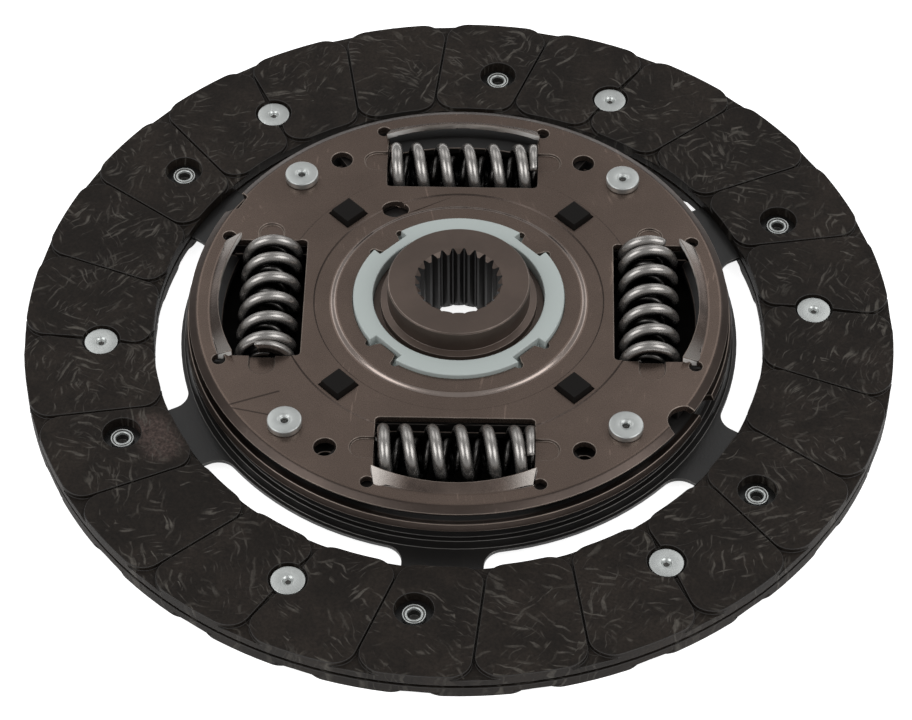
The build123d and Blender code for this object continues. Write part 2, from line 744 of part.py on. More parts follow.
# Black peg ring in the coined zone, with four pegs up through the cover plate
peg_bottom = flange_top + running_clearance
peg_shoulder = cover_top + coined_zone_rise
peg_top = cover_top + peg_height_above_cover
with BuildPart() as peg_ring:
    with BuildSketch(Plane.XY.offset(peg_bottom)):
        Circle(peg_ring_outer_radius)
        lug_middle = (peg_ring_inner_radius + peg_lug_reach) / 2
        with PolarLocations(lug_middle, window_count, start_angle=pin_angle):
            Rectangle(peg_lug_reach - peg_ring_inner_radius, 2 * peg_lug_half_width)
        Circle(peg_ring_inner_radius, mode=Mode.SUBTRACT)
    extrude(amount=peg_ring_thickness)
    with BuildSketch(Plane.XY.offset(peg_bottom)):
        with PolarLocations(peg_distance, window_count, start_angle=pin_angle):
            RectangleRounded(peg_side, peg_side, peg_corner)
    extrude(amount=peg_shoulder - peg_bottom)
    with BuildSketch(Plane.XY.offset(peg_shoulder)):
        with PolarLocations(peg_distance, window_count, start_angle=pin_angle):
            RectangleRounded(peg_side, peg_side, peg_corner)
    extrude(amount=peg_top - peg_shoulder, taper=peg_draft)
peg_ring.part.label = "peg_ring"
export_step(peg_ring.part, "parts/peg_ring.step")

# Rear friction ring: a flange against the hub flange and a sleeve that centres the hub
friction_top = flange_bottom - running_clearance
friction_step = friction_top - friction_flange_thickness
with BuildPart() as friction_ring_rear:
    add(
        turned(
            [
                (sleeve_bore_radius, rear_dish_bottom),
                (sleeve_outer_radius, rear_dish_bottom),
                (sleeve_outer_radius, friction_step),
                (friction_flange_radius, friction_step),
                (friction_flange_radius, friction_top),
                (sleeve_bore_radius, friction_top),
            ]
        )
    )
friction_ring_rear.part.label = "friction_ring_rear"
export_step(friction_ring_rear.part, "parts/friction_ring_rear.step")

# Support washer under the friction ring
washer_bottom = friction_step - washer_thickness
with BuildPart() as support_washer:
    with BuildSketch(Plane.XY.offset(washer_bottom)):
        Circle(washer_outer_radius)
        Circle(sleeve_outer_radius + washer_bore_clearance, mode=Mode.SUBTRACT)
    extrude(amount=washer_thickness)
support_washer.part.label = "support_washer"
export_step(support_washer.part, "parts/support_washer.step")

# Diaphragm spring, a cone between the dish of the rear plate and the washer
with BuildPart() as diaphragm_spring:
    add(
        turned(
            [
                (diaphragm_outer_radius, rear_dish_top),
                (diaphragm_outer_radius, rear_dish_top + diaphragm_thickness),
                (diaphragm_inner_radius, washer_bottom),
                (diaphragm_inner_radius, washer_bottom - diaphragm_thickness),
            ]
        )
    )
diaphragm_spring.part.label = "diaphragm_spring"
export_step(diaphragm_spring.part, "parts/diaphragm_spring.step")
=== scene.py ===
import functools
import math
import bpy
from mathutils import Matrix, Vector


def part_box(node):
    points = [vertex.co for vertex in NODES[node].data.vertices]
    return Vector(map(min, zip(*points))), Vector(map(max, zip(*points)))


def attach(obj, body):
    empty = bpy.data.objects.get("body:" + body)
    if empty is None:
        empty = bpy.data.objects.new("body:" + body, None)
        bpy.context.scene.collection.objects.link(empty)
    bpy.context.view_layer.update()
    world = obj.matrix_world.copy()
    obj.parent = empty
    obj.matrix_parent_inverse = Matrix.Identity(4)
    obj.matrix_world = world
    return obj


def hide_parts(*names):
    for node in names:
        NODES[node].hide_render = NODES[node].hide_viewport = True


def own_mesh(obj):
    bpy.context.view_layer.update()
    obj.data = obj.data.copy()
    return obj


bl_info = {
    "name": "Clutch disc",
    "version": (1, 0, 0),
    "blender": (4, 5, 0),
    "location": "3D View > Sidebar > Clutch disc",
    "description": "Dresses the packed clutch disc: linings, plates, springs, rivets and hub",
    "category": "Object",
}

import bmesh
import bpy
import numpy as np
from mathutils import Matrix

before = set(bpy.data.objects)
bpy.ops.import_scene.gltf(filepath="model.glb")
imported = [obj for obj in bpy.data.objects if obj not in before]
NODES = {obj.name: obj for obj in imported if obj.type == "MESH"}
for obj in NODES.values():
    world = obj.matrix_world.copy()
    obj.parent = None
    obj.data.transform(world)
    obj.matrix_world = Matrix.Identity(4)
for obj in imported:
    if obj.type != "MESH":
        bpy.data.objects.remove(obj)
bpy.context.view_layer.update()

MM = 0.001
LINING_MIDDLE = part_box("facing_front")[1].z / 2
DAMPER_MIDDLE = (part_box("hub_flange")[0].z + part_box("hub_flange")[1].z) / 2
FLAT_TURN = math.radians(8)
WINDOW_COUNT = 4
WINDOW_ANGLE = math.radians(-1.4)

# Radii, widths and heights on the disc in millimetres, and places round it in degrees

LIP_EDGE = 54.4
LIP_ROOT = 57.0
LIP_LOW = (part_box("cover_plate")[1].z - 1.8 * MM) / MM
LIP_HALF = 17.35
LIP_ROOT_HALF = 17.55
RELIEF_HALF = 18.6
COVER_BOTTOM = 13.4
TURNED_RIM = 60.15
COINED_EDGES = ((32.8, 33.7), (40.9, 41.8))
COINED_SLOPES = ((32.9, 33.5), (41.1, 41.6))
PIN_RADIUS = 53.5
PIN_ANGLE = 43.6
PEG_RADIUS = 37.3
PEG_CLEARING = 5.6
SPLINE_CLEARING = 10.6
RIVET_RADIUS = 82.4
RIVET_COUNT = 6
FRONT_RIVETS = 63.1
REAR_RIVETS = 83.1
SEAT_RADIUS = 4.35
GROOVE_COUNT = 24
GROOVE_OFFSET = 14.8
FRONT_GROOVE_FLOOR = 5.8
REAR_GROOVE_FLOOR = 1.1

# Straight marks seen from above: two ends and half the width in millimetres

SCRIBED_MARKS = (
    ((-40.4, -27.3), (-52.6, -31.6), 0.34),
    ((-52.6, -31.6), (-42.5, -34.1), 0.28),
)
WORN_PATCH = ((-69.5, -31.0), (-66.5, -36.0), 6.0)

# Steel finishes, several of them painted shade, highlight or glint: colour, metallic share,
# roughness, unevenness and depth of the grain in metres

FINISHES = {
    "lining_edge": ((0.012, 0.0096, 0.008), 0.0, 0.6, 0.2),
    # Painted shade in the rivets' dimples, bores and grooves and in the pins' pits
    "rivet_pit_painted_shade": ((0.05, 0.048, 0.045), 0.6, 0.4, 0.2),
    # Partly edge wear, partly a painted glint on the rounded edges, as also in black_edge, hub_edge
    # and spline_edge
    "brown_edge": ((0.22, 0.18, 0.155), 0.8, 0.36, 0.2),
    # Painted shade on the turned rims and on the coined steps
    "rim_painted_shade": ((0.06, 0.045, 0.038), 0.8, 0.3, 0.2),
    # Painted highlight on the cover's dish slope: a lighter copy of the brown
    "dish_slope_painted_highlight": ((0.3, 0.25, 0.225), 0.9, 0.2, 0.1, 0.000002),
    # Painted shade on faces seen down the windows and on undersides
    "inside_painted_shade": ((0.008, 0.007, 0.0065), 0.0, 0.5, 0.2),
    # These two edge finishes: partly edge wear, partly a painted glint
    "black_edge": ((0.12, 0.115, 0.11), 0.7, 0.35, 0.3),
    "hub_edge": ((0.2, 0.165, 0.145), 0.8, 0.36, 0.45),
    # Painted shade in the hub's bore and on the hub flange
    "hub_painted_shade": ((0.009, 0.0075, 0.007), 0.3, 0.45, 0.2),
    # Edges of the hub flange: partly edge wear, partly a painted glint
    "spline_edge": ((0.07, 0.062, 0.056), 0.6, 0.36, 0.2),
    "blued_steel": ((0.05, 0.05, 0.055), 0.8, 0.35, 0.15),
}


# Mesh building


def grid_faces(rows, columns, wrap_rows=False, wrap_columns=False):
    """Corner numbers of the quads of a grid of points: each quad joins a point with the next
    in its row, and the same two points of the next row. A wrapped direction joins last to first."""
    row = np.arange(rows if wrap_rows else rows - 1)
    column = np.arange(columns if wrap_columns else columns - 1)
    row, column = np.meshgrid(row, column, indexing="ij")
    next_row = (row + 1) % rows
    next_column = (column + 1) % columns
    corners = [row * columns + column, row * columns + next_column]
    corners += [next_row * columns + next_column, next_row * columns + column]
    return np.stack(corners, -1).reshape(-1, 4)


def make_piece(name, points, faces, material, smooth=True):
    """A mesh object at the origin from an array of points in metres and lists of faces."""
    mesh = bpy.data.meshes.new(name)
    mesh.from_pydata(points.reshape(-1, 3).tolist(), [], faces)
    mesh.validate()
    mesh.polygons.foreach_set("use_smooth", np.full(len(mesh.polygons), smooth))
    mesh.materials.append(material)
    piece = bpy.data.objects.new(name, mesh)
    bpy.context.scene.collection.objects.link(piece)
    return piece


def face_outwards(piece):
    """Recalculates a closed mesh's normals, so that every face points out of it."""
    work = bmesh.new()
    work.from_mesh(piece.data)
    bmesh.ops.recalc_face_normals(work, faces=work.faces)
    work.to_mesh(piece.data)
    work.free()


def dress(piece, body, slot, *nodes):
    """Sets a finished piece's body, and hides the nodes that it stands for. The slot is not used.
    """
    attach(piece, body)
    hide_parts(*nodes)


def merged_copy(node):
    """A new mesh from a CAD node's loose triangles. Its doubles are merged, its flat triangles
    joined and its shortest edges closed up, so that a rounding runs along real edges."""
    mesh = bpy.data.meshes.new(node + "_finished")
    work = bmesh.new()
    work.from_mesh(NODES[node].data)
    bmesh.ops.remove_doubles(work, verts=work.verts, dist=1e-6)
    bmesh.ops.dissolve_limit(work, angle_limit=math.radians(0.5), verts=work.verts,
                             edges=work.edges)
    bmesh.ops.remove_doubles(work, verts=work.verts, dist=0.03 * MM)
    work.to_mesh(mesh)
    work.free()
    return mesh


def reshape_points(mesh, change):
    """Moves a mesh's points to where a function of their whole array puts them."""
    points = np.empty(3 * len(mesh.vertices), np.float32)
    mesh.vertices.foreach_get("co", points)
    moved = change(points.reshape(-1, 3).astype(float))
    mesh.vertices.foreach_set("co", moved.astype(np.float32).ravel())
    mesh.update()


def turning_edges(work, low, high=math.inf):
    """The smooth edges between two faces that turn by more than low and at most high."""
    return [edge for edge in work.edges if len(edge.link_faces) == 2 and edge.smooth
            and low < edge.calc_face_angle() <= high]


def lies_level(edge):
    """Whether an edge's two ends are equally high."""
    return abs(edge.verts[0].co.z - edge.verts[1].co.z) < 0.02 * MM


def round_edges(work, edges, width, steps, material=-1):
    """Rounds some edges of a mesh being edited. The strips take the named material slot."""
    bmesh.ops.bevel(work, geom=edges, offset=width, offset_type="OFFSET", segments=steps,
                    profile=0.5, affect="EDGES", clamp_overlap=False, material=material,
                    loop_slide=True)


def softened(node, body, slot, finishes, width, crease=35, bend=0.0, areas=(), crisp=None,
             change=None, settle=None):
    """A copy of a CAD node with its sharp edges rounded. The two finishes are those of the
    surface and of the rounded edges. Each area is a test of a face's centre in millimetres and
    normal, and the finish of the faces for which it holds. Bends are level edges below the
    crease angle. Edges for whose middle in millimetres the crisp test holds stay as they are,
    with split normals. The change reshapes the points before the rounding, and settle reshapes
    them after it. Normals weighted by area keep the large flat faces flat."""
    mesh = merged_copy(node)
    if change:
        reshape_points(mesh, change)
    work = bmesh.new()
    work.from_mesh(mesh)
    work.normal_update()
    for face in work.faces:
        centre = face.calc_center_median() / MM
        holds = [number for number, (test, _) in enumerate(areas) if test(centre, face.normal)]
        face.material_index = 2 + holds[-1] if holds else 0
    for edge in turning_edges(work, FLAT_TURN):
        middle = (edge.verts[0].co + edge.verts[1].co) / 2 / MM
        edge.smooth = not (crisp and crisp(middle))
    if bend:
        bends = [edge for edge in turning_edges(work, FLAT_TURN, math.radians(crease))
                 if lies_level(edge)]
        round_edges(work, bends, bend, 4)
        work.normal_update()
    round_edges(work, turning_edges(work, math.radians(crease)), width, 2, material=1)
    for face in work.faces:
        face.smooth = True
    work.to_mesh(mesh)
    work.free()
    if settle:
        reshape_points(mesh, settle)
    for finish in (*finishes, *(finish for _, finish in areas)):
        mesh.materials.append(finish)
    piece = bpy.data.objects.new(node + "_finished", mesh)
    bpy.context.scene.collection.objects.link(piece)
    weighted = piece.modifiers.new("flat_faces", "WEIGHTED_NORMAL")
    weighted.weight = 100
    weighted.keep_sharp = True
    dress(piece, body, slot, node)


def faces_in(rings, slopes, above=-math.inf):
    """A test for the faces whose centre lies in one of some rings, each given by two radii, and
    above a height, and whose normal's upward part lies between the two slopes."""
    def test(centre, normal):
        radius = math.hypot(centre.x, centre.y)
        in_ring = any(inner <= radius < outer for inner, outer in rings)
        return in_ring and slopes[0] < normal.z < slopes[1] and centre.z > above
    return test


def in_window_frame(points):
    """The nearest window of each point, and the point's place along it and away from the axis."""
    step = 2 * math.pi / WINDOW_COUNT
    angle = np.arctan2(points[:, 1], points[:, 0]) - WINDOW_ANGLE
    window = np.round(angle / step) * step + WINDOW_ANGLE
    away = points[:, 0] * np.cos(window) + points[:, 1] * np.sin(window)
    along = points[:, 1] * np.cos(window) - points[:, 0] * np.sin(window)
    return window, along / MM, away / MM


def shaped_lips(points):
    """The cover plate's points with its four lips drawn up: the free edge stands 0.55 mm higher
    and 0.58 mm further out in the middle, and rises and comes in with the square of the distance
    from there. The root stops short of the round reliefs."""
    drawn_up, drawn_out, end_rise, end_fall, widened, tolerance = 0.55, 0.58, 0.5, 1.1, 1.05, 0.03
    points = points.copy()
    window, along, away = in_window_frame(points)
    radius = np.hypot(along, away)
    height = points[:, 2] / MM
    free = (np.abs(radius - LIP_EDGE) < tolerance) & (height > LIP_LOW - 0.1)
    share = along / LIP_HALF
    radius_new = np.where(free, LIP_EDGE + drawn_out - end_fall * share**2, radius)
    along_new = np.where(free, along * widened, along)
    height_new = np.where(free, height + drawn_up + end_rise * share**2, height)
    in_relief = (np.abs(along) > LIP_ROOT_HALF) & (np.abs(along) < RELIEF_HALF)
    root_end = (np.abs(radius - LIP_ROOT) < tolerance) & in_relief
    along_new = np.where(root_end, np.sign(along) * LIP_ROOT_HALF, along_new)
    away_new = np.sqrt(np.maximum(radius_new**2 - along_new**2, 0))
    moved = free | root_end
    along = np.where(moved, along_new, along) * MM
    away = np.where(moved, away_new, away) * MM
    points[:, 0] = away * np.cos(window) - along * np.sin(window)
    points[:, 1] = away * np.sin(window) + along * np.cos(window)
    points[:, 2] = height_new * MM
    return points


def above_underside(points):
    """The cover plate's points with none of them, inside its turned rim, below its underside."""
    points = points.copy()
    inside = np.hypot(points[:, 0], points[:, 1]) < TURNED_RIM * MM
    lifted = np.maximum(points[:, 2], COVER_BOTTOM * MM)
    points[:, 2] = np.where(inside, lifted, points[:, 2])
    return points


def ring_of_places(radius_mm, first_degrees, count, height):
    """Centres of equal parts set round the axis, in metres."""
    angle = np.radians(first_degrees) + np.arange(count) * 2 * math.pi / count
    radius = radius_mm * MM
    return np.stack([radius * np.cos(angle), radius * np.sin(angle), np.full(count, height)], -1)


def rivet_places(first_degrees):
    """Centres of the rivets of one side, half way up the linings."""
    return ring_of_places(RIVET_RADIUS, first_degrees, RIVET_COUNT, LINING_MIDDLE)


def narrow_grooves(head_angle, flip, floor_height):
    """A change for a lining's points that draws the walls of its grooves together. A point moves
    towards its groove's middle by 0.33 mm times a share that falls smoothly from 1 at the wall,
    0.6 mm from the middle, to 0 at 4 mm. The round rivet seats keep their shape. The rear lining
    is the front one turned over, so its points are mirrored by the flip on the way."""
    drawn_in, wall, reach = 0.33, 0.6, 4.0

    def change(points):
        points = points * (1, flip, 1)
        slant = math.asin(GROOVE_OFFSET / RIVET_RADIUS)
        step = 2 * math.pi / GROOVE_COUNT
        first = math.radians(head_angle) * flip - slant
        place = points[:, :2] / MM
        on_pads = (points[:, 2] / MM - floor_height) * flip > -0.01
        angle = np.arctan2(place[:, 1], place[:, 0])
        radius = np.maximum(np.hypot(place[:, 0], place[:, 1]), GROOVE_OFFSET)
        groove = np.round((angle - np.arcsin(GROOVE_OFFSET / radius) - first) / step) * step + first
        aside = place[:, 1] * np.cos(groove) - place[:, 0] * np.sin(groove) - GROOVE_OFFSET
        near = np.clip((reach - np.abs(aside)) / (reach - wall), 0, 1)
        move = -np.sign(aside) * drawn_in * near**2 * (3 - 2 * near)
        rivets = np.concatenate([rivet_places(FRONT_RIVETS), rivet_places(REAR_RIVETS)])
        seats = rivets[:, :2] * (1, flip) / MM
        to_seat = np.linalg.norm(place[:, None] - seats[None], axis=2).min(1)
        off_seats = np.abs(to_seat - SEAT_RADIUS) > 0.06
        move = np.where(on_pads & off_seats, move, 0) * MM
        points[:, 0] -= move * np.sin(groove)
        points[:, 1] += move * np.cos(groove)
        return points * (1, flip, 1)
    return change


def rounded(points, radius, steps=4):
    """An outline with each inner corner replaced by a parabolic arc that starts and ends
    the radius away from it, or half a side away where a side is short."""
    points = np.asarray(points, float)
    share = np.linspace(0, 1, steps)[:, None]
    out = [points[:1]]
    for before, corner, after in zip(points[:-2], points[1:-1], points[2:]):
        back = before - corner
        ahead = after - corner
        reach_back = min(radius, 0.5 * np.linalg.norm(back)) / np.linalg.norm(back)
        reach_ahead = min(radius, 0.5 * np.linalg.norm(ahead)) / np.linalg.norm(ahead)
        start = corner + back * reach_back
        end = corner + ahead * reach_ahead
        out.append((1 - share) ** 2 * start + 2 * share * (1 - share) * corner + share**2 * end)
    out.append(points[-1:])
    return np.concatenate(out)


def turned_pieces(name, outline, centres, finishes, pit, segments=48, upside_down=False):
    """Turned copies of one outline in millimetres: a point at (radius, height) goes round to
    (radius cos a, radius sin a, height) about each centre. The two ends of the outline
    lie on the axis, so each copy is closed there by a fan. Where the pit test of radius and
    height holds, the faces take the second finish."""
    middle = (outline[1:-2] + outline[2:-1]) / 2
    ends = outline[[0, -1]]
    side = np.tile(pit(middle[:, 0], middle[:, 1]), segments)
    caps = np.repeat(pit(ends[:, 0], ends[:, 1]), segments)
    in_pit = np.concatenate([side, caps]).astype(int)
    outline = outline * MM * (1, -1 if upside_down else 1)
    turn = np.linspace(0, 2 * math.pi, segments, endpoint=False)[:, None]
    radius, height = outline[1:-1, 0], outline[1:-1, 1]
    ring = np.stack([np.cos(turn) * radius, np.sin(turn) * radius,
                     np.zeros_like(turn) + height], -1)
    tips = np.array([[0, 0, outline[0, 1]], [0, 0, outline[-1, 1]]])
    one = np.concatenate([ring.reshape(-1, 3), tips])
    count = len(radius)
    quads = grid_faces(segments, count, wrap_rows=True)
    first = np.arange(segments) * count
    following = np.roll(first, -1)
    tip = np.full(segments, len(one) - 2)
    start_fan = np.stack([tip, first, following], -1)
    end_fan = np.stack([tip + 1, following + count - 1, first + count - 1], -1)
    points, faces = [], []
    for index, centre in enumerate(centres):
        shift = index * len(one)
        points.append(one + centre)
        for group in (quads, start_fan, end_fan):
            faces += (group + shift).tolist()
    piece = make_piece(name, np.concatenate(points), faces, finishes[0])
    piece.data.materials.append(finishes[1])
    piece.data.polygons.foreach_set("material_index", np.tile(in_pit, len(centres)))
    face_outwards(piece)
    return piece


# Shader building


def feed(tree, socket, value):
    """Links a socket to another node's output, or gives it a value of its own."""
    if isinstance(value, bpy.types.NodeSocket):
        tree.links.new(value, socket)
    else:
        socket.default_value = value


def node(tree, kind, settings=None, **inputs):
    """A node with its settings and its inputs, each a value or another node's output. An input's
    name is written without its spaces, and the first of that name is meant."""
    made = tree.nodes.new(kind)
    for key, value in (settings or {}).items():
        setattr(made, key, value)
    for key, value in inputs.items():
        named = [socket for socket in made.inputs if socket.name.replace(" ", "") == key]
        feed(tree, named[0], value)
    return made


def maths(tree, operation, first, second=0.0, third=0.0):
    """The output of a maths node on two or three values or sockets."""
    made = node(tree, "ShaderNodeMath", {"operation": operation})
    for socket, value in zip(made.inputs, (first, second, third)):
        feed(tree, socket, value)
    return made.outputs[0]


def vectors(tree, operation, *values):
    """The output of a vector maths node, which is a number for a length or a dot product."""
    made = node(tree, "ShaderNodeVectorMath", {"operation": operation})
    for socket, value in zip(made.inputs, values):
        feed(tree, socket, value)
    return made.outputs["Value" if operation in ("LENGTH", "DOT_PRODUCT") else "Vector"]


def largest(tree, values):
    """The largest of several values."""
    return functools.reduce(lambda first, second: maths(tree, "MAXIMUM", first, second), values)


def span(tree, value, low, high, start=0.0, end=1.0):
    """A value that goes smoothly from start to end as the input goes from low to high."""
    return node(tree, "ShaderNodeMapRange", {"interpolation_type": "SMOOTHSTEP"}, Value=value,
                FromMin=low, FromMax=high, ToMin=start, ToMax=end).outputs[0]


def noise(tree, place, scale, detail, roughness=0.5):
    """A noise texture node."""
    return node(tree, "ShaderNodeTexNoise", Vector=place, Scale=scale, Detail=detail,
                Roughness=roughness)


def blend_colours(tree, share, first, second, mode="MIX"):
    """The output of a colour mix node."""
    made = node(tree, "ShaderNodeMix", {"data_type": "RGBA", "blend_type": mode})
    for number, value in ((0, share), (6, first), (7, second)):
        feed(tree, made.inputs[number], value)
    return made.outputs[2]


def scaled_colour(colour, factor):
    """An opaque colour made darker or lighter by a factor, at most full."""
    return tuple(min(1.0, factor * part) for part in colour[:3]) + (1.0,)


def new_group(name, inputs, outputs):
    """An empty shader node group and its two end nodes. The inputs are numbers with their
    defaults, or vectors where that is None, and the outputs are numbers."""
    group = bpy.data.node_groups.new(name, "ShaderNodeTree")
    for label, default in inputs.items():
        kind = "NodeSocketVector" if default is None else "NodeSocketFloat"
        item = group.interface.new_socket(label, in_out="INPUT", socket_type=kind)
        if default is not None:
            item.default_value = default
    for label in outputs:
        group.interface.new_socket(label, in_out="OUTPUT", socket_type="NodeSocketFloat")
    start = group.nodes.new("NodeGroupInput")
    end = group.nodes.new("NodeGroupOutput")
    return group, start.outputs, end.inputs


def place_group():
    """Radius, height and angle of a point about the disc's axis, from its place in metres."""
    group, given, out = new_group("place_on_disc", {"Place": None}, ("Radius", "Height", "Angle"))
    parts = node(group, "ShaderNodeSeparateXYZ", Vector=given["Place"]).outputs
    flat = node(group, "ShaderNodeCombineXYZ", X=parts[0], Y=parts[1]).outputs[0]
    feed(group, out["Radius"], vectors(group, "LENGTH", flat))
    feed(group, out["Height"], parts[2])
    feed(group, out["Angle"], maths(group, "ARCTAN2", parts[1], parts[0]))
    return group


def mottle_group():
    """Large soft patches, small grain and thin scratches, each from 0 to 1. The scratches are
    the crests of noise that is stretched along three directions and slightly bent, and they
    show only where the patches are high."""
    group, given, out = new_group(
        "mottle_and_scratches",
        {"Place": None, "Patch Scale": 60.0, "Grain Scale": 1500.0, "Scratch Scale": 90.0},
        ("Patches", "Grain", "Scratches"),
    )
    place = given["Place"]
    patches = noise(group, place, given["Patch Scale"], 5.0, 0.6).outputs["Fac"]
    grain = noise(group, place, given["Grain Scale"], 3.0, 0.65).outputs["Fac"]
    bend = noise(group, place, 14.0, 1.0).outputs["Color"]
    bent = vectors(group, "MULTIPLY_ADD", bend, (0.035, 0.035, 0.035), place)
    fineness = maths(group, "MULTIPLY", given["Scratch Scale"], 12.0)
    scratches = []
    for turn, shift in ((0.5, 0.0), (1.7, 3.1), (2.6, 7.7)):
        turned = node(group, "ShaderNodeMapping", Vector=bent, Rotation=(0, 0, turn),
                      Location=(shift, shift, 0), Scale=(1.0, 0.04, 1.0)).outputs[0]
        lines = noise(group, turned, fineness, 1.0).outputs["Fac"]
        scratches.append(span(group, lines, 0.70, 0.76))
    rare = span(group, patches, 0.5, 0.62)
    feed(group, out["Patches"], patches)
    feed(group, out["Grain"], grain)
    feed(group, out["Scratches"], maths(group, "MULTIPLY", largest(group, scratches), rare))
    return group


def yarn_group():
    """Bundles of short yarn strokes. A Voronoi pattern splits the face into cells. In each cell
    the strokes run at the cell's own slant to the radius, to one side or the other, as wound
    yarn does. A stroke is a ridge of noise stretched along that slant, and it fades at the
    cell's rim."""
    group, given, out = new_group(
        "yarn_strokes",
        {"Place": None, "Cells": 110.0, "Shift": 0.0, "Fineness": 900.0, "Slant": 0.9,
         "Share": 0.6},
        ("Stroke", "Tone"),
    )
    shift = node(group, "ShaderNodeCombineXYZ", X=given["Shift"], Y=given["Shift"]).outputs[0]
    moved = vectors(group, "ADD", given["Place"], shift)
    cells = node(group, "ShaderNodeTexVoronoi", {"voronoi_dimensions": "2D"}, Vector=moved,
                 Scale=given["Cells"], Randomness=1.0).outputs
    chance, tone, share = node(group, "ShaderNodeSeparateColor", Color=cells["Color"]).outputs
    centre = vectors(group, "SUBTRACT", cells["Position"], shift)
    angle = use_group(group, "place_on_disc", Place=centre)["Angle"]
    side = maths(group, "MULTIPLY_ADD", maths(group, "GREATER_THAN", chance, 0.5), 2.0, -1.0)
    spread = maths(group, "MULTIPLY_ADD", tone, 0.9, -0.45)
    slant = maths(group, "MULTIPLY_ADD", side, given["Slant"], spread)
    turn = maths(group, "MULTIPLY", maths(group, "ADD", angle, slant), -1.0)
    bend = noise(group, moved, 160.0, 1.0).outputs["Color"]
    bent = vectors(group, "MULTIPLY_ADD", bend, (0.004, 0.004, 0.0), moved)
    turned = node(group, "ShaderNodeVectorRotate", {"rotation_type": "Z_AXIS"}, Vector=bent,
                  Angle=turn).outputs[0]
    stretched = vectors(group, "MULTIPLY", turned, (0.16, 1.0, 0.0))
    lines = noise(group, stretched, given["Fineness"], 1.5).outputs["Fac"]
    ridge = span(group, lines, 0.56, 0.70)
    inside = span(group, cells["Distance"], 0.35, 0.62, 1.0, 0.0)
    kept = maths(group, "LESS_THAN", share, given["Share"])
    strength = maths(group, "MULTIPLY", maths(group, "MULTIPLY", ridge, inside), kept)
    feed(group, out["Stroke"], strength)
    feed(group, out["Tone"], tone)
    return group


def line_group():
    """How near a point lies to a straight line between two ends, seen from above: 1 on the line
    and 0 at its half width. The nearest point of the line is the start plus the run times the
    share of it that the point has gone along, held between 0 and 1."""
    group, given, out = new_group(
        "scribed_line", {"Place": None, "Start": None, "End": None, "Width": 0.0003}, ("Line",))
    flat = vectors(group, "MULTIPLY", given["Place"], (1.0, 1.0, 0.0))
    run = vectors(group, "SUBTRACT", given["End"], given["Start"])
    reach = vectors(group, "SUBTRACT", flat, given["Start"])
    along = vectors(group, "DOT_PRODUCT", reach, run)
    share = maths(group, "DIVIDE", along, vectors(group, "DOT_PRODUCT", run, run))
    share = maths(group, "MINIMUM", maths(group, "MAXIMUM", share, 0.0), 1.0)
    nearest = node(group, "ShaderNodeVectorMath", {"operation": "SCALE"}, Vector=run, Scale=share)
    gap = vectors(group, "SUBTRACT", reach, nearest.outputs[0])
    worn = maths(group, "DIVIDE", vectors(group, "LENGTH", gap), given["Width"])
    feed(group, out["Line"], span(group, worn, 0.3, 1.0, 1.0, 0.0))
    return group


GROUPS = {
    "place_on_disc": place_group,
    "mottle_and_scratches": mottle_group,
    "yarn_strokes": yarn_group,
    "scribed_line": line_group,
}


def use_group(tree, name, **inputs):
    """The outputs of a shared effect's group node, with its inputs set or linked. The group
    itself is built the first time it is used."""
    made = tree.nodes.new("ShaderNodeGroup")
    made.node_tree = bpy.data.node_groups.get(name) or GROUPS[name]()
    for key, value in inputs.items():
        feed(tree, made.inputs[key.replace("_", " ")], value)
    return made.outputs


def drawn_line(tree, place, mark):
    """How near a point lies to one straight mark, from 0 to 1."""
    first, last, width = mark
    ends = [(x * MM, y * MM, 0) for x, y in (first, last)]
    return use_group(tree, "scribed_line", Place=place, Start=ends[0], End=ends[1],
                     Width=width * MM)["Line"]


def new_material(name, metallic, roughness):
    """A material with its tree, its shader's inputs and its object coordinates."""
    material = bpy.data.materials.new(name)
    material.use_nodes = True
    tree = material.node_tree
    shader = tree.nodes["Principled BSDF"].inputs
    shader["Metallic"].default_value = metallic
    shader["Roughness"].default_value = roughness
    place = tree.nodes.new("ShaderNodeTexCoord").outputs["Object"]
    return material, tree, shader, place


def add_bump(tree, shader, height, distance):
    """Bump from a height, over a real distance in metres."""
    bump = node(tree, "ShaderNodeBump", Height=height, Distance=distance, Strength=1.0)
    feed(tree, shader["Normal"], bump.outputs[0])


def lining_material(colour, yarn_colour):
    """Moulded friction lining: dark mottled binder, three layers of yarn strokes and a fine
    grain, rubbed paler in one patch beside a sight hole."""
    material, tree, shader, place = new_material("friction_lining", 0.0, 0.6)
    shader["Specular IOR Level"].default_value = 0.15
    mottle = use_group(tree, "mottle_and_scratches", Place=place, Patch_Scale=70.0,
                       Grain_Scale=1500.0)
    layers = []
    for cells, shift, fineness, share in ((115.0, 0.0, 850.0, 0.75), (90.0, 0.31, 1000.0, 0.7),
                                          (150.0, 0.73, 1150.0, 0.6)):
        yarn = use_group(tree, "yarn_strokes", Place=place, Cells=cells, Shift=shift,
                         Fineness=fineness, Share=share)
        tone = maths(tree, "MULTIPLY_ADD", yarn["Tone"], 0.7, 0.3)
        layers.append(maths(tree, "MULTIPLY", yarn["Stroke"], tone))
    strokes = largest(tree, layers)
    base = blend_colours(tree, span(tree, mottle["Patches"], 0.38, 0.68), colour,
                         scaled_colour(colour, 1.9))
    rubbed = maths(tree, "MULTIPLY", drawn_line(tree, place, WORN_PATCH), mottle["Grain"])
    base = blend_colours(tree, rubbed, base, (0.085, 0.06, 0.053, 1.0))
    mixed = blend_colours(tree, strokes, base, yarn_colour)
    speckle = maths(tree, "MULTIPLY_ADD", mottle["Grain"], 1.8, 0.1)
    feed(tree, shader["Base Color"], blend_colours(tree, 1.0, mixed, speckle, "MULTIPLY"))
    height = maths(tree, "ADD", maths(tree, "MULTIPLY", mottle["Grain"], 0.5),
                   maths(tree, "MULTIPLY", strokes, 0.8))
    add_bump(tree, shader, height, 0.0001)
    return material


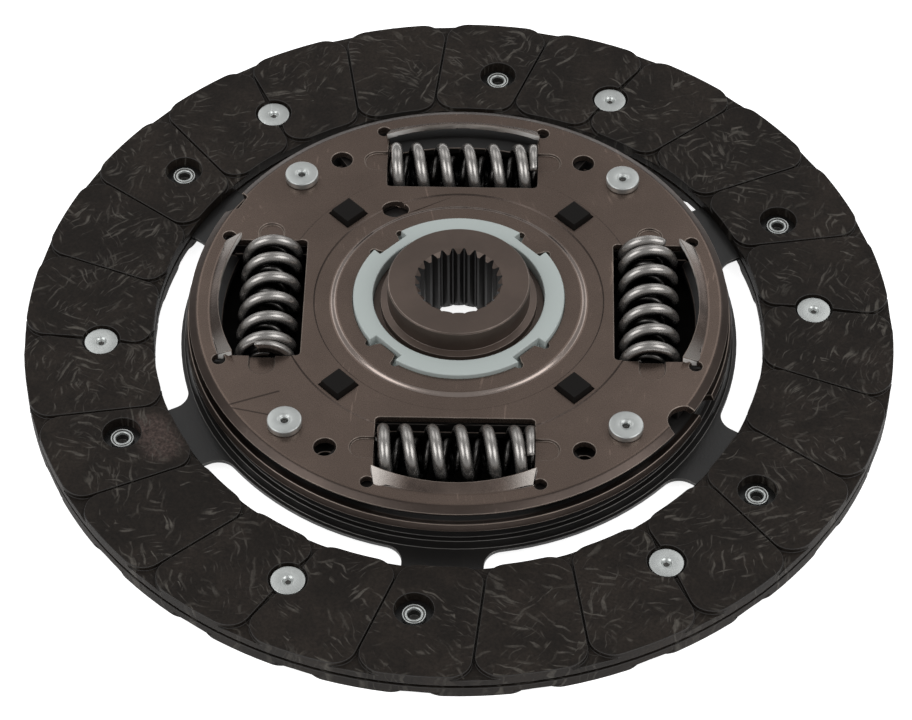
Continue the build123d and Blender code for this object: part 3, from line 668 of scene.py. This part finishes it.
def steel_material(name, colour, metallic, roughness, patch_share, bump=0.00002, over=None):
    """Finished sheet or bar steel: soft patches, fine grain and a few thin scratches. What goes
    over it, where given, is a function of the tree, the place and the steel's colour."""
    material, tree, shader, place = new_material(name, metallic, roughness)
    mottle = use_group(tree, "mottle_and_scratches", Place=place)
    patches = span(tree, mottle["Patches"], 0.3, 0.7)
    base = blend_colours(tree, patches, scaled_colour(colour, 1 - patch_share),
                         scaled_colour(colour, 1 + patch_share))
    scratches = maths(tree, "MULTIPLY", mottle["Scratches"], 0.5)
    mixed = blend_colours(tree, scratches, base, scaled_colour(colour, 2.2))
    feed(tree, shader["Base Color"], over(tree, place, mixed) if over else mixed)
    rough = maths(tree, "MULTIPLY_ADD", mottle["Grain"], 0.08, roughness - 0.04)
    feed(tree, shader["Roughness"], rough)
    add_bump(tree, shader, mottle["Grain"], bump)
    return material


def plain_finish(name):
    """One of the plain steel finishes."""
    return steel_material(name, *FINISHES[name])


def plate_material(colour):
    """Brown finish of the plates with marks scribed in it: straight thin lines, each between two
    points of the upper face. The darkened share falls off over the line's half width."""
    def scribed(tree, place, steel):
        marks = largest(tree, [drawn_line(tree, place, mark) for mark in SCRIBED_MARKS])
        share = maths(tree, "MULTIPLY", marks, 0.9)
        return blend_colours(tree, share, steel, scaled_colour(colour, 0.3))
    return steel_material("brown_phosphate", colour, 0.8, 0.27, 0.08, 0.000002, over=scribed)


def lip_material(name, middle, ends, metallic, roughness, bump):
    """Steel of the window lips: the first colour in the middle of each window, going over to the
    second, lighter as a painted highlight, towards its two ends. The place is the angle from the
    nearest window's middle."""
    def towards_ends(tree, place, steel):
        angle = use_group(tree, "place_on_disc", Place=place)["Angle"]
        half_step = math.pi / WINDOW_COUNT
        from_window = maths(tree, "SUBTRACT", angle, WINDOW_ANGLE)
        aside = maths(tree, "ABSOLUTE", maths(tree, "WRAP", from_window, half_step, -half_step))
        return blend_colours(tree, span(tree, aside, 0.17, 0.33), steel, ends)
    return steel_material(name, middle, metallic, roughness, 0.45, bump, over=towards_ends)


def wire_material(name, colour):
    """Shot-peened grey spring wire, with painted shade making it black below the upper half of the
    coils. The flanks between two coils, where the outward attribute is small, are painted black as
    shade too."""
    material, tree, shader, place = new_material(name, 0.9, 0.3)
    grain = use_group(tree, "mottle_and_scratches", Place=place)["Grain"]
    height = use_group(tree, "place_on_disc", Place=place)["Height"]
    upper = span(tree, height, DAMPER_MIDDLE, DAMPER_MIDDLE + 2.5 * MM)
    outward = node(tree, "ShaderNodeAttribute", {"attribute_name": "outward"}).outputs["Fac"]
    unshaded = maths(tree, "MULTIPLY", upper, span(tree, outward, -0.2, 0.3))
    wire = blend_colours(tree, unshaded, scaled_colour(colour, 0.06), colour)
    feed(tree, shader["Base Color"], wire)
    feed(tree, shader["Roughness"], maths(tree, "MULTIPLY_ADD", grain, 0.14, 0.2))
    add_bump(tree, shader, grain, 0.000005)
    return material


def plastic_material(name, colour, roughness, specular=0.5):
    """Moulded plastic with a faint grain."""
    material, tree, shader, place = new_material(name, 0.0, roughness)
    shader["Specular IOR Level"].default_value = specular
    mottle = use_group(tree, "mottle_and_scratches", Place=place, Patch_Scale=40.0,
                       Grain_Scale=900.0)
    mixed = blend_colours(tree, mottle["Patches"], scaled_colour(colour, 0.93), colour)
    feed(tree, shader["Base Color"], mixed)
    add_bump(tree, shader, mottle["Grain"], 0.00002)
    return material


# Settings that a user would change


class ClutchDiscColours(bpy.types.PropertyGroup):
    lining: bpy.props.FloatVectorProperty(
        name="Lining", description="Binder of the friction linings", size=4, subtype="COLOR",
        min=0.0, max=1.0, default=(0.0098, 0.0074, 0.0058, 1.0))
    yarn: bpy.props.FloatVectorProperty(
        name="Yarn", description="Yarn flecks in the linings", size=4, subtype="COLOR",
        min=0.0, max=1.0, default=(0.072, 0.065, 0.056, 1.0))
    plate: bpy.props.FloatVectorProperty(
        name="Plates", description="Brown finish of the two plates and the hub", size=4,
        subtype="COLOR", min=0.0, max=1.0, default=(0.128, 0.0945, 0.078, 1.0))
    carrier: bpy.props.FloatVectorProperty(
        name="Carrier", description="Black finish of the carrier disc", size=4, subtype="COLOR",
        min=0.0, max=1.0, default=(0.007, 0.0064, 0.006, 1.0))
    guide_ring: bpy.props.FloatVectorProperty(
        name="Guide ring", description="Pale plastic of the guide ring", size=4, subtype="COLOR",
        min=0.0, max=1.0, default=(0.425, 0.472, 0.458, 1.0))
    pegs: bpy.props.FloatVectorProperty(
        name="Pegs", description="Black plastic of the peg ring", size=4, subtype="COLOR",
        min=0.0, max=1.0, default=(0.005, 0.004, 0.0034, 1.0))
    springs: bpy.props.FloatVectorProperty(
        name="Springs", description="Wire of the damper springs", size=4, subtype="COLOR",
        min=0.0, max=1.0, default=(0.35, 0.335, 0.32, 1.0))
    zinc: bpy.props.FloatVectorProperty(
        name="Zinc", description="Zinc finish of the rivets and stop pins", size=4, subtype="COLOR",
        min=0.0, max=1.0, default=(0.5, 0.52, 0.51, 1.0))


class ClutchDiscSprings(bpy.types.PropertyGroup):
    outer_wire: bpy.props.FloatProperty(
        name="Outer wire", description="Wire diameter of the outer springs", default=2.8 * MM,
        min=0.5 * MM, max=4 * MM, unit="LENGTH", subtype="DISTANCE")
    outer_radius: bpy.props.FloatProperty(
        name="Outer radius", description="Outside radius of the outer springs", default=7.1 * MM,
        min=4 * MM, max=8 * MM, unit="LENGTH", subtype="DISTANCE")
    outer_turns: bpy.props.FloatProperty(
        name="Outer turns", description="Turns of an outer spring with its closed ends",
        default=6.8, min=3, max=12)
    inner_wire: bpy.props.FloatProperty(
        name="Inner wire", description="Wire diameter of the inner springs", default=1.5 * MM,
        min=0.5 * MM, max=3 * MM, unit="LENGTH", subtype="DISTANCE")
    inner_radius: bpy.props.FloatProperty(
        name="Inner radius", description="Outside radius of the inner springs", default=4.0 * MM,
        min=2 * MM, max=4.2 * MM, unit="LENGTH", subtype="DISTANCE")
    inner_turns: bpy.props.FloatProperty(
        name="Inner turns", description="Turns of an inner spring with its closed ends",
        default=11.0, min=3, max=16)
    length: bpy.props.FloatProperty(
        name="Length", description="Length of the springs between the window ends",
        default=35.2 * MM, min=20 * MM, max=35.4 * MM, unit="LENGTH", subtype="DISTANCE")
    axis_distance: bpy.props.FloatProperty(
        name="Axis distance", description="Distance of a spring's axis from the disc's axis",
        default=43.5 * MM, min=42 * MM, max=46 * MM, unit="LENGTH", subtype="DISTANCE")


class ClutchDiscStage(bpy.types.PropertyGroup):
    lens: bpy.props.FloatProperty(
        name="Lens", description="Focal length on a 36 mm sensor",
        default=134.13, min=20, max=300)
    tilt: bpy.props.FloatProperty(
        name="Tilt", description="Angle at which the camera looks down",
        default=math.radians(49.11), min=0, max=math.pi / 2, subtype="ANGLE", unit="ROTATION")
    floor_glow: bpy.props.FloatProperty(
        name="Floor glow",
        description="Brightness of the floor to the camera where nothing lights it",
        default=0.86, min=0, max=1)
    side_light: bpy.props.FloatProperty(
        name="Side light", description="Power of each of the two side lamps in watts",
        default=3.1, min=0, max=100)
    back_light: bpy.props.FloatProperty(
        name="Back light", description="Power of each of the two lamps behind in watts",
        default=1.5, min=0, max=100)
    sky: bpy.props.FloatProperty(
        name="Sky", description="Brightness of the surroundings on the object",
        default=0.45, min=0, max=2)


# Springs


def spring_surface(length, outer_radius, wire, turns, first_crest, hand):
    """Points and faces of a coil spring about the x axis, as a tube round a helix with closed,
    ground ends, and how far each point faces outwards from the coil, from -1 to 1.
    The pitch is small in the end coils and grows to the working pitch between them. The coil
    first stands straight up after the given share of a turn.
    A point of the helix is (x(a), R cos a, R sin a), the tube adds the wire's radius along the
    coil's own radius and binormal, and x is clipped at both ends, as grinding leaves it."""
    samples, sides = int(turns * 56), 20
    closed_turns, easing, end_pitch = 0.75, 0.35, 0.42
    coil_radius = outer_radius - wire / 2
    turn = np.linspace(0, turns, samples)
    from_end = np.minimum(turn, turns - turn)
    pitch = end_pitch + (1 - end_pitch) * np.clip((from_end - closed_turns) / easing, 0, 1)
    travel = np.concatenate([[0], np.cumsum((pitch[1:] + pitch[:-1]) / 2)])
    half = length / 2 - 0.1 * wire
    along = -half + 2 * half * travel / travel[-1]
    angle = hand * 2 * math.pi * (turn - first_crest) + math.pi / 2
    radial = np.stack([np.zeros(samples), np.cos(angle), np.sin(angle)], -1)
    centre = coil_radius * radial
    centre[:, 0] = along
    tangent = np.gradient(centre, axis=0)
    tangent /= np.linalg.norm(tangent, axis=1, keepdims=True)
    binormal = np.cross(tangent, radial)
    around = np.linspace(0, 2 * math.pi, sides, endpoint=False)[None, :, None]
    section = np.cos(around) * radial[:, None] + np.sin(around) * binormal[:, None]
    points = centre[:, None] + wire / 2 * section
    points[..., 0] = np.clip(points[..., 0], -length / 2, length / 2)
    faces = grid_faces(samples, sides, wrap_columns=True).tolist()
    faces.append(list(range(sides)))
    faces.append(list(range((samples - 1) * sides, samples * sides)))
    outward = np.tile(np.cos(around.ravel()), samples)
    return points, faces, outward


def window_frame(index):
    """The directions of a window: clockwise along it, away from the disc's axis, and up."""
    angle = WINDOW_ANGLE + index * 2 * math.pi / WINDOW_COUNT
    away = np.array([math.cos(angle), math.sin(angle), 0])
    along = np.array([math.sin(angle), -math.cos(angle), 0])
    return along, away, np.array([0, 0, 1])


class CLUTCHDISC_OT_springs(bpy.types.Operator):
    """Winds the outer and inner damper springs in the four windows"""

    bl_idname = "clutchdisc.springs"
    bl_label = "Damper springs"

    def execute(self, context):
        sizes = context.scene.clutch_springs
        colour = tuple(context.scene.clutch_colours.springs)
        # Painted shade: both wires are black below the upper half and on the flanks, and the inner
        # wire is a darker copy of the outer
        outer_painted_shade_wire = wire_material("spring_wire", colour)
        inner_painted_shade_wire = wire_material("inner_spring_wire", scaled_colour(colour, 0.2))
        first_crests = (0.1, 0.7, 0.05, 0.1)
        kinds = (
            ("spring_outer", sizes.outer_radius, sizes.outer_wire, sizes.outer_turns, 1,
             outer_painted_shade_wire),
            ("spring_inner", sizes.inner_radius, sizes.inner_wire, sizes.inner_turns, -1,
             inner_painted_shade_wire),
        )
        for name, radius, wire, turns, hand, material in kinds:
            for index, first_crest in enumerate(first_crests):
                local, faces, outward = spring_surface(sizes.length, radius, wire, turns,
                                                       first_crest, hand)
                along, away, up = window_frame(index)
                centre = away * sizes.axis_distance + up * DAMPER_MIDDLE
                points = local @ np.stack([along, away, up]) + centre
                piece = make_piece(f"{name}_coil_{index + 1}", points, faces, material)
                facing = piece.data.attributes.new("outward", "FLOAT", "POINT")
                facing.data.foreach_set("value", outward)
                face_outwards(piece)
                dress(piece, "disc", "spring_steel", f"{name}_{index + 1}")
                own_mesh(piece)
        return {"FINISHED"}


# Linings, rivets and pins


class CLUTCHDISC_OT_linings(bpy.types.Operator):
    """Finishes the two friction linings"""

    bl_idname = "clutchdisc.linings"
    bl_label = "Friction linings"

    def execute(self, context):
        colours = context.scene.clutch_colours
        lining = lining_material(tuple(colours.lining), tuple(colours.yarn))
        finishes = (lining, plain_finish("lining_edge"))
        front = narrow_grooves(FRONT_RIVETS, 1, FRONT_GROOVE_FLOOR)
        rear = narrow_grooves(REAR_RIVETS, -1, REAR_GROOVE_FLOOR)
        for name, change in (("facing_front", front), ("facing_rear", rear)):
            softened(name, "disc", "friction_lining", finishes, 0.16 * MM, change=change)
        return {"FINISHED"}


class CLUTCHDISC_OT_rivets(bpy.types.Operator):
    """Turns the facing rivets and the stop pins with rounded heads and dimples"""

    bl_idname = "clutchdisc.rivets"
    bl_label = "Rivets and stop pins"

    def execute(self, context):
        zinc = steel_material("zinc_finish", tuple(context.scene.clutch_colours.zinc),
                              0.85, 0.34, 0.08)
        # The second finish is painted shade in the pits
        finishes = (zinc, plain_finish("rivet_pit_painted_shade"))
        self.make_rivets(finishes)
        self.make_pins(finishes)
        return {"FINISHED"}

    def make_rivets(self, finishes):
        """Rivets with a head at one end and a flare, rolled open round a bore, at the other.
        The outline runs down from the head's dimple to the bottom of the bore."""
        head = [(0, 2.0), (0.6, 2.05), (0.85, 2.5), (1.3, 2.85), (3.85, 2.85), (3.85, 1.95),
                (2.1, 1.95)]
        flare = [(2.1, -0.45), (2.6, -0.6), (2.65, -1.65), (2.4, -1.8), (2.25, -1.6), (2.05, -1.6),
                 (1.9, -1.75), (1.55, -1.7), (1.35, -1.1), (1.2, 0.2), (0, 0.3)]
        outline = rounded(head + flare, 0.16)

        def in_pit(radius, height):
            # Painted shade in the dimple, the bore and the flare's groove
            dimple = (radius < 0.62) & (height > 0)
            bore = (radius < 1.38) & (height < 0.5) & (height > -1.4)
            groove = (radius > 2.05) & (radius < 2.3) & (height < -1.45)
            return dimple | bore | groove

        for name, first_angle, upside_down in (("facing_rivets_front", FRONT_RIVETS, False),
                                               ("facing_rivets_rear", REAR_RIVETS, True)):
            piece = turned_pieces(name + "_turned", outline, rivet_places(first_angle), finishes,
                                  in_pit, upside_down=upside_down)
            dress(piece, "disc", "zinc_rivet", name)

    def make_pins(self, finishes):
        """Stop pins with two riveted heads, a thick middle and a stepped pit on top."""
        low, high = (corner.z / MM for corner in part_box("stop_pin_1"))
        foot = [(0, low), (3.9, low), (3.9, low + 1.8), (3.0, low + 1.8), (3.0, low + 4.5),
                (4.4, low + 4.5)]
        head = [(4.4, high - 3.6), (3.0, high - 3.6), (3.0, high - 1.8), (3.9, high - 1.8),
                (3.9, high)]
        pit = [(1.45, high), (1.2, high - 0.3), (0.85, high - 0.35), (0.65, high - 1.2),
               (0, high - 1.3)]
        outline = rounded(foot + head + pit, 0.35)

        def in_pit(radius, height):
            # Painted shade in the pit's centre
            return (radius < 0.72) & (height > high - 2)

        for index, place in enumerate(ring_of_places(PIN_RADIUS, PIN_ANGLE, WINDOW_COUNT, 0.0)):
            piece = turned_pieces(f"stop_pin_{index + 1}_turned", outline, [place], finishes,
                                  in_pit, segments=64)
            dress(piece, "disc", "zinc_rivet", f"stop_pin_{index + 1}")


# Plates, hub and friction parts


class CLUTCHDISC_OT_plates(bpy.types.Operator):
    """Finishes the cover plate, the rear plate and the carrier disc"""

    bl_idname = "clutchdisc.plates"
    bl_label = "Plates and carrier"

    def execute(self, context):
        colours = context.scene.clutch_colours
        brown = plate_material(tuple(colours.plate))
        brown_edge = plain_finish("brown_edge")
        # rim is painted shade that darkens the turned rims and the coined steps
        rim = plain_finish("rim_painted_shade")
        # inside is painted shade for the faces seen down the windows and for the undersides
        inside = plain_finish("inside_painted_shade")
        on_rim = faces_in([(60.1, math.inf)], (-2, 0.95))
        self.make_cover(brown, brown_edge, rim, inside, on_rim)
        # The rear plate's upward faces inside the rim, seen through the windows, take painted shade
        facing_up = faces_in([(0, 59.5)], (-0.3, 2))
        softened("rear_plate", "disc", "brown_steel", (brown, brown_edge), 0.2 * MM,
                 crease=50, bend=0.45 * MM, areas=((facing_up, inside), (on_rim, rim)))
        black = steel_material("black_finish", tuple(colours.carrier), 0.0, 0.36, 0.25)
        softened("carrier_disc", "disc", "black_steel", (black, plain_finish("black_edge")),
                 0.1 * MM, crease=25)
        return {"FINISHED"}

    def make_cover(self, brown, brown_edge, rim, inside, on_rim):
        """The cover plate with its lips, the steps of its coined zone and its dished centre."""
        # Lighter towards the window ends: a painted highlight over the lip ends' bare sheared steel
        # and over the lip faces' brown
        lip_end_and_highlight = lip_material("lip_end_steel_and_highlight", (0.5, 0.45, 0.41, 1.0), (0.85, 0.83, 0.8, 1.0),
                               0.1, 0.4, 0.00015)
        lip_face_painted_highlight = lip_material("lip_face_painted_highlight", (0.115, 0.088, 0.075, 1.0), (0.31, 0.285, 0.265, 1.0),
                                0.85, 0.27, 0.00001)
        lip_end = faces_in([(53.2, 55.6)], (-0.5, 0.5), above=LIP_LOW)
        # The cover's undersides take painted shade
        facing_in = faces_in([(0, 60)], (-2, -0.5))
        lip_face = faces_in([(54.3, 57.8)], (0.3, 0.95), above=LIP_LOW + 0.8)
        # The coined steps take the rim's painted shade
        coined_step = faces_in(COINED_SLOPES, (0.4, 0.95))
        # The dish slope takes a painted highlight
        dish_slope_painted_highlight = faces_in([(28.2, 29.4)], (0.4, 0.97))
        pegs = ring_of_places(PEG_RADIUS, PIN_ANGLE, WINDOW_COUNT, 0.0) / MM

        def coined_or_peg_hole(middle):
            radius = math.hypot(middle.x, middle.y)
            to_peg = min(math.hypot(middle.x - x, middle.y - y) for x, y, _ in pegs)
            on_step = any(inner < radius < outer for inner, outer in COINED_EDGES)
            return on_step or to_peg < PEG_CLEARING

        areas = ((lip_end, lip_end_and_highlight), (facing_in, inside), (lip_face, lip_face_painted_highlight), (on_rim, rim),
                 (coined_step, rim), (dish_slope_painted_highlight, plain_finish("dish_slope_painted_highlight")))
        softened("cover_plate", "disc", "brown_steel", (brown, brown_edge), 0.2 * MM, crease=50,
                 bend=0.45 * MM, areas=areas, crisp=coined_or_peg_hole, change=shaped_lips,
                 settle=above_underside)


class CLUTCHDISC_OT_hub(bpy.types.Operator):
    """Finishes the splined hub and the hub flange"""

    bl_idname = "clutchdisc.hub"
    bl_label = "Hub"

    def execute(self, context):
        colour = scaled_colour(context.scene.clutch_colours.plate, 0.76)
        brown = steel_material("hub_phosphate", colour, 0.6, 0.36, 0.14)
        # dark is painted shade: the bore's wall and the whole hub flange, seen only through
        # openings
        dark = plain_finish("hub_painted_shade")
        in_bore = faces_in([(0, 10.2)], (-0.6, 0.6))

        def spline_edge(middle):
            return math.hypot(middle.x, middle.y) < SPLINE_CLEARING

        softened("hub", "hub", "brown_steel_hub", (brown, plain_finish("hub_edge")), 0.08 * MM,
                 areas=((in_bore, dark),), crisp=spline_edge)
        softened("hub_flange", "hub", "brown_steel_hub", (dark, plain_finish("spline_edge")),
                 0.1 * MM)
        return {"FINISHED"}


class CLUTCHDISC_OT_friction_parts(bpy.types.Operator):
    """Finishes the guide ring, the peg ring and the rear friction stack"""

    bl_idname = "clutchdisc.friction_parts"
    bl_label = "Guide ring and friction parts"

    def execute(self, context):
        colours = context.scene.clutch_colours
        pale = plastic_material("pale_plastic", tuple(colours.guide_ring), 0.45)
        black = plastic_material("black_plastic", tuple(colours.pegs), 0.55, specular=0.14)
        spring = plain_finish("blued_steel")
        for name, slot, finish, width in (
            ("guide_ring_front", "white_plastic", pale, 0.3 * MM),
            ("peg_ring", "black_plastic", black, 0.06 * MM),
            ("friction_ring_rear", "black_plastic", black, 0.12 * MM),
            ("support_washer", "brown_steel", spring, 0.08 * MM),
            ("diaphragm_spring", "black_steel", spring, 0.06 * MM),
        ):
            softened(name, "disc", slot, (finish, finish), width)
        return {"FINISHED"}


# Stage


def turned_to(item, side, up, away, place):
    """Sets a lamp's or camera's place and its own three directions."""
    turn = Matrix(np.column_stack([side, up, away]).tolist()).to_4x4()
    turn.translation = place
    item.matrix_world = turn


def add_lamp(name, place, target, size, power):
    """A lamp with a rectangular face, turned to a target point."""
    data = bpy.data.lights.new(name, "AREA")
    data.shape = "RECTANGLE"
    data.size, data.size_y = size
    data.energy = power
    lamp = bpy.data.objects.new(name, data)
    bpy.context.scene.collection.objects.link(lamp)
    away = np.subtract(place, target)
    away /= np.linalg.norm(away)
    side = np.cross((0, 0, 1.0), away)
    side /= np.linalg.norm(side)
    turned_to(lamp, side, np.cross(away, side), away, place)


class CLUTCHDISC_OT_stage(bpy.types.Operator):
    """Builds the pale floor, the lamps, the surroundings and the camera"""

    bl_idname = "clutchdisc.stage"
    bl_label = "Stage"

    def execute(self, context):
        stage = context.scene.clutch_stage
        self.make_floor(stage)
        self.make_sky(stage)
        for name, place, size, power in (
            ("left_lamp", (-0.6, -0.28, 0.74), (0.7, 0.6), stage.side_light),
            ("right_lamp", (0.6, -0.28, 0.74), (0.7, 0.6), stage.side_light),
            ("back_left_lamp", (-0.5, 0.8, 0.9), (0.6, 0.8), stage.back_light),
            ("back_right_lamp", (0.5, 0.8, 0.9), (0.6, 0.8), stage.back_light),
        ):
            add_lamp(name, place, (0, 0, 0.01), size, power)
        self.make_camera(stage)
        context.scene.view_settings.view_transform = "Standard"
        return {"FINISHED"}

    def make_floor(self, stage):
        """A large pale plane just below the disc, whose colour to the camera is near white. Below
        the plates, where the windows look down on it, a painted shadow makes it dark and keeps it
        from glowing. Its underside can't be seen."""
        half, low = 3.0, -0.02 * MM
        corners = np.array([(-half, -half, low), (half, -half, low), (half, half, low),
                            (-half, half, low)])
        # Painted shadow: the ring of floor under the plates is dark and doesn't glow
        shadow_inner, shadow_outer, shadow_shift = 14 * MM, 64 * MM, -3.4 * MM
        material, tree, shader, place = new_material("pale_floor", 0.0, 1.0)
        shader["Specular IOR Level"].default_value = 0.0
        below = tree.nodes.new("ShaderNodeNewGeometry").outputs["Backfacing"]
        feed(tree, shader["Alpha"], maths(tree, "SUBTRACT", 1.0, below))
        moved = node(tree, "ShaderNodeMapping", Vector=place, Location=(0, shadow_shift, 0))
        radius = use_group(tree, "place_on_disc", Place=moved.outputs[0])["Radius"]
        lit = maths(tree, "MAXIMUM", maths(tree, "GREATER_THAN", radius, shadow_outer),
                    maths(tree, "LESS_THAN", radius, shadow_inner))
        floor_colour = blend_colours(tree, lit, (0.015, 0.014, 0.013, 1.0), (0.8, 0.8, 0.8, 1.0))
        feed(tree, shader["Base Color"], floor_colour)
        paths = tree.nodes.new("ShaderNodeLightPath").outputs
        seen = maths(tree, "MAXIMUM", paths["Is Camera Ray"], paths["Is Glossy Ray"])
        glow = maths(tree, "MULTIPLY", lit, stage.floor_glow)
        shader["Emission Color"].default_value = (1, 1, 1, 1)
        feed(tree, shader["Emission Strength"], maths(tree, "MULTIPLY", glow, seen))
        floor = make_piece("floor", corners, [[0, 1, 2, 3]], material, smooth=False)

    def make_sky(self, stage):
        """Even surroundings: white to the camera and softer on the object."""
        world = bpy.data.worlds.new("surroundings")
        bpy.context.scene.world = world
        world.use_nodes = True
        tree = world.node_tree
        background = tree.nodes["Background"].inputs
        background["Color"].default_value = (1, 1, 1, 1)
        seen = tree.nodes.new("ShaderNodeLightPath").outputs["Is Camera Ray"]
        strength = maths(tree, "MULTIPLY_ADD", seen, 1 - stage.sky, stage.sky)
        feed(tree, background["Strength"], strength)

    def make_camera(self, stage):
        """The camera at the photograph's place, tilt and small roll."""
        place = np.array([-0.67, -519.58, 594.15]) * MM
        tilt, roll = stage.tilt, math.radians(-0.1936)
        right = np.array([1.0, 0, 0])
        ahead = np.array([0, math.cos(tilt), -math.sin(tilt)])
        up = np.cross(right, ahead)
        side = math.cos(roll) * right + math.sin(roll) * up
        top = -math.sin(roll) * right + math.cos(roll) * up
        data = bpy.data.cameras.new("camera")
        data.lens = stage.lens
        data.sensor_width = 36.0
        data.sensor_fit = "HORIZONTAL"
        data.clip_start = 0.01
        data.clip_end = 20.0
        camera = bpy.data.objects.new("camera", data)
        bpy.context.scene.collection.objects.link(camera)
        turned_to(camera, side, top, -ahead, place)
        bpy.context.scene.camera = camera


class CLUTCHDISC_PT_panel(bpy.types.Panel):
    """Lists the steps that dress the clutch disc"""

    bl_label = "Clutch disc"
    bl_idname = "CLUTCHDISC_PT_panel"
    bl_space_type = "VIEW_3D"
    bl_region_type = "UI"
    bl_category = "Clutch disc"

    def draw(self, context):
        for name in STEPS:
            self.layout.operator(name)


STEPS = (
    "clutchdisc.linings",
    "clutchdisc.plates",
    "clutchdisc.springs",
    "clutchdisc.rivets",
    "clutchdisc.hub",
    "clutchdisc.friction_parts",
    "clutchdisc.stage",
)

CLASSES = (
    ClutchDiscColours,
    ClutchDiscSprings,
    ClutchDiscStage,
    CLUTCHDISC_OT_linings,
    CLUTCHDISC_OT_plates,
    CLUTCHDISC_OT_springs,
    CLUTCHDISC_OT_rivets,
    CLUTCHDISC_OT_hub,
    CLUTCHDISC_OT_friction_parts,
    CLUTCHDISC_OT_stage,
    CLUTCHDISC_PT_panel,
)


def register():
    for cls in CLASSES:
        bpy.utils.register_class(cls)
    bpy.types.Scene.clutch_colours = bpy.props.PointerProperty(type=ClutchDiscColours)
    bpy.types.Scene.clutch_springs = bpy.props.PointerProperty(type=ClutchDiscSprings)
    bpy.types.Scene.clutch_stage = bpy.props.PointerProperty(type=ClutchDiscStage)


def unregister():
    del bpy.types.Scene.clutch_stage
    del bpy.types.Scene.clutch_springs
    del bpy.types.Scene.clutch_colours
    for cls in reversed(CLASSES):
        bpy.utils.unregister_class(cls)


def main():
    """Registers the add-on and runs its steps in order."""
    register()
    bpy.ops.clutchdisc.linings()
    bpy.ops.clutchdisc.plates()
    bpy.ops.clutchdisc.springs()
    bpy.ops.clutchdisc.rivets()
    bpy.ops.clutchdisc.hub()
    bpy.ops.clutchdisc.friction_parts()
    bpy.ops.clutchdisc.stage()


if __name__ == "__main__":
    main()
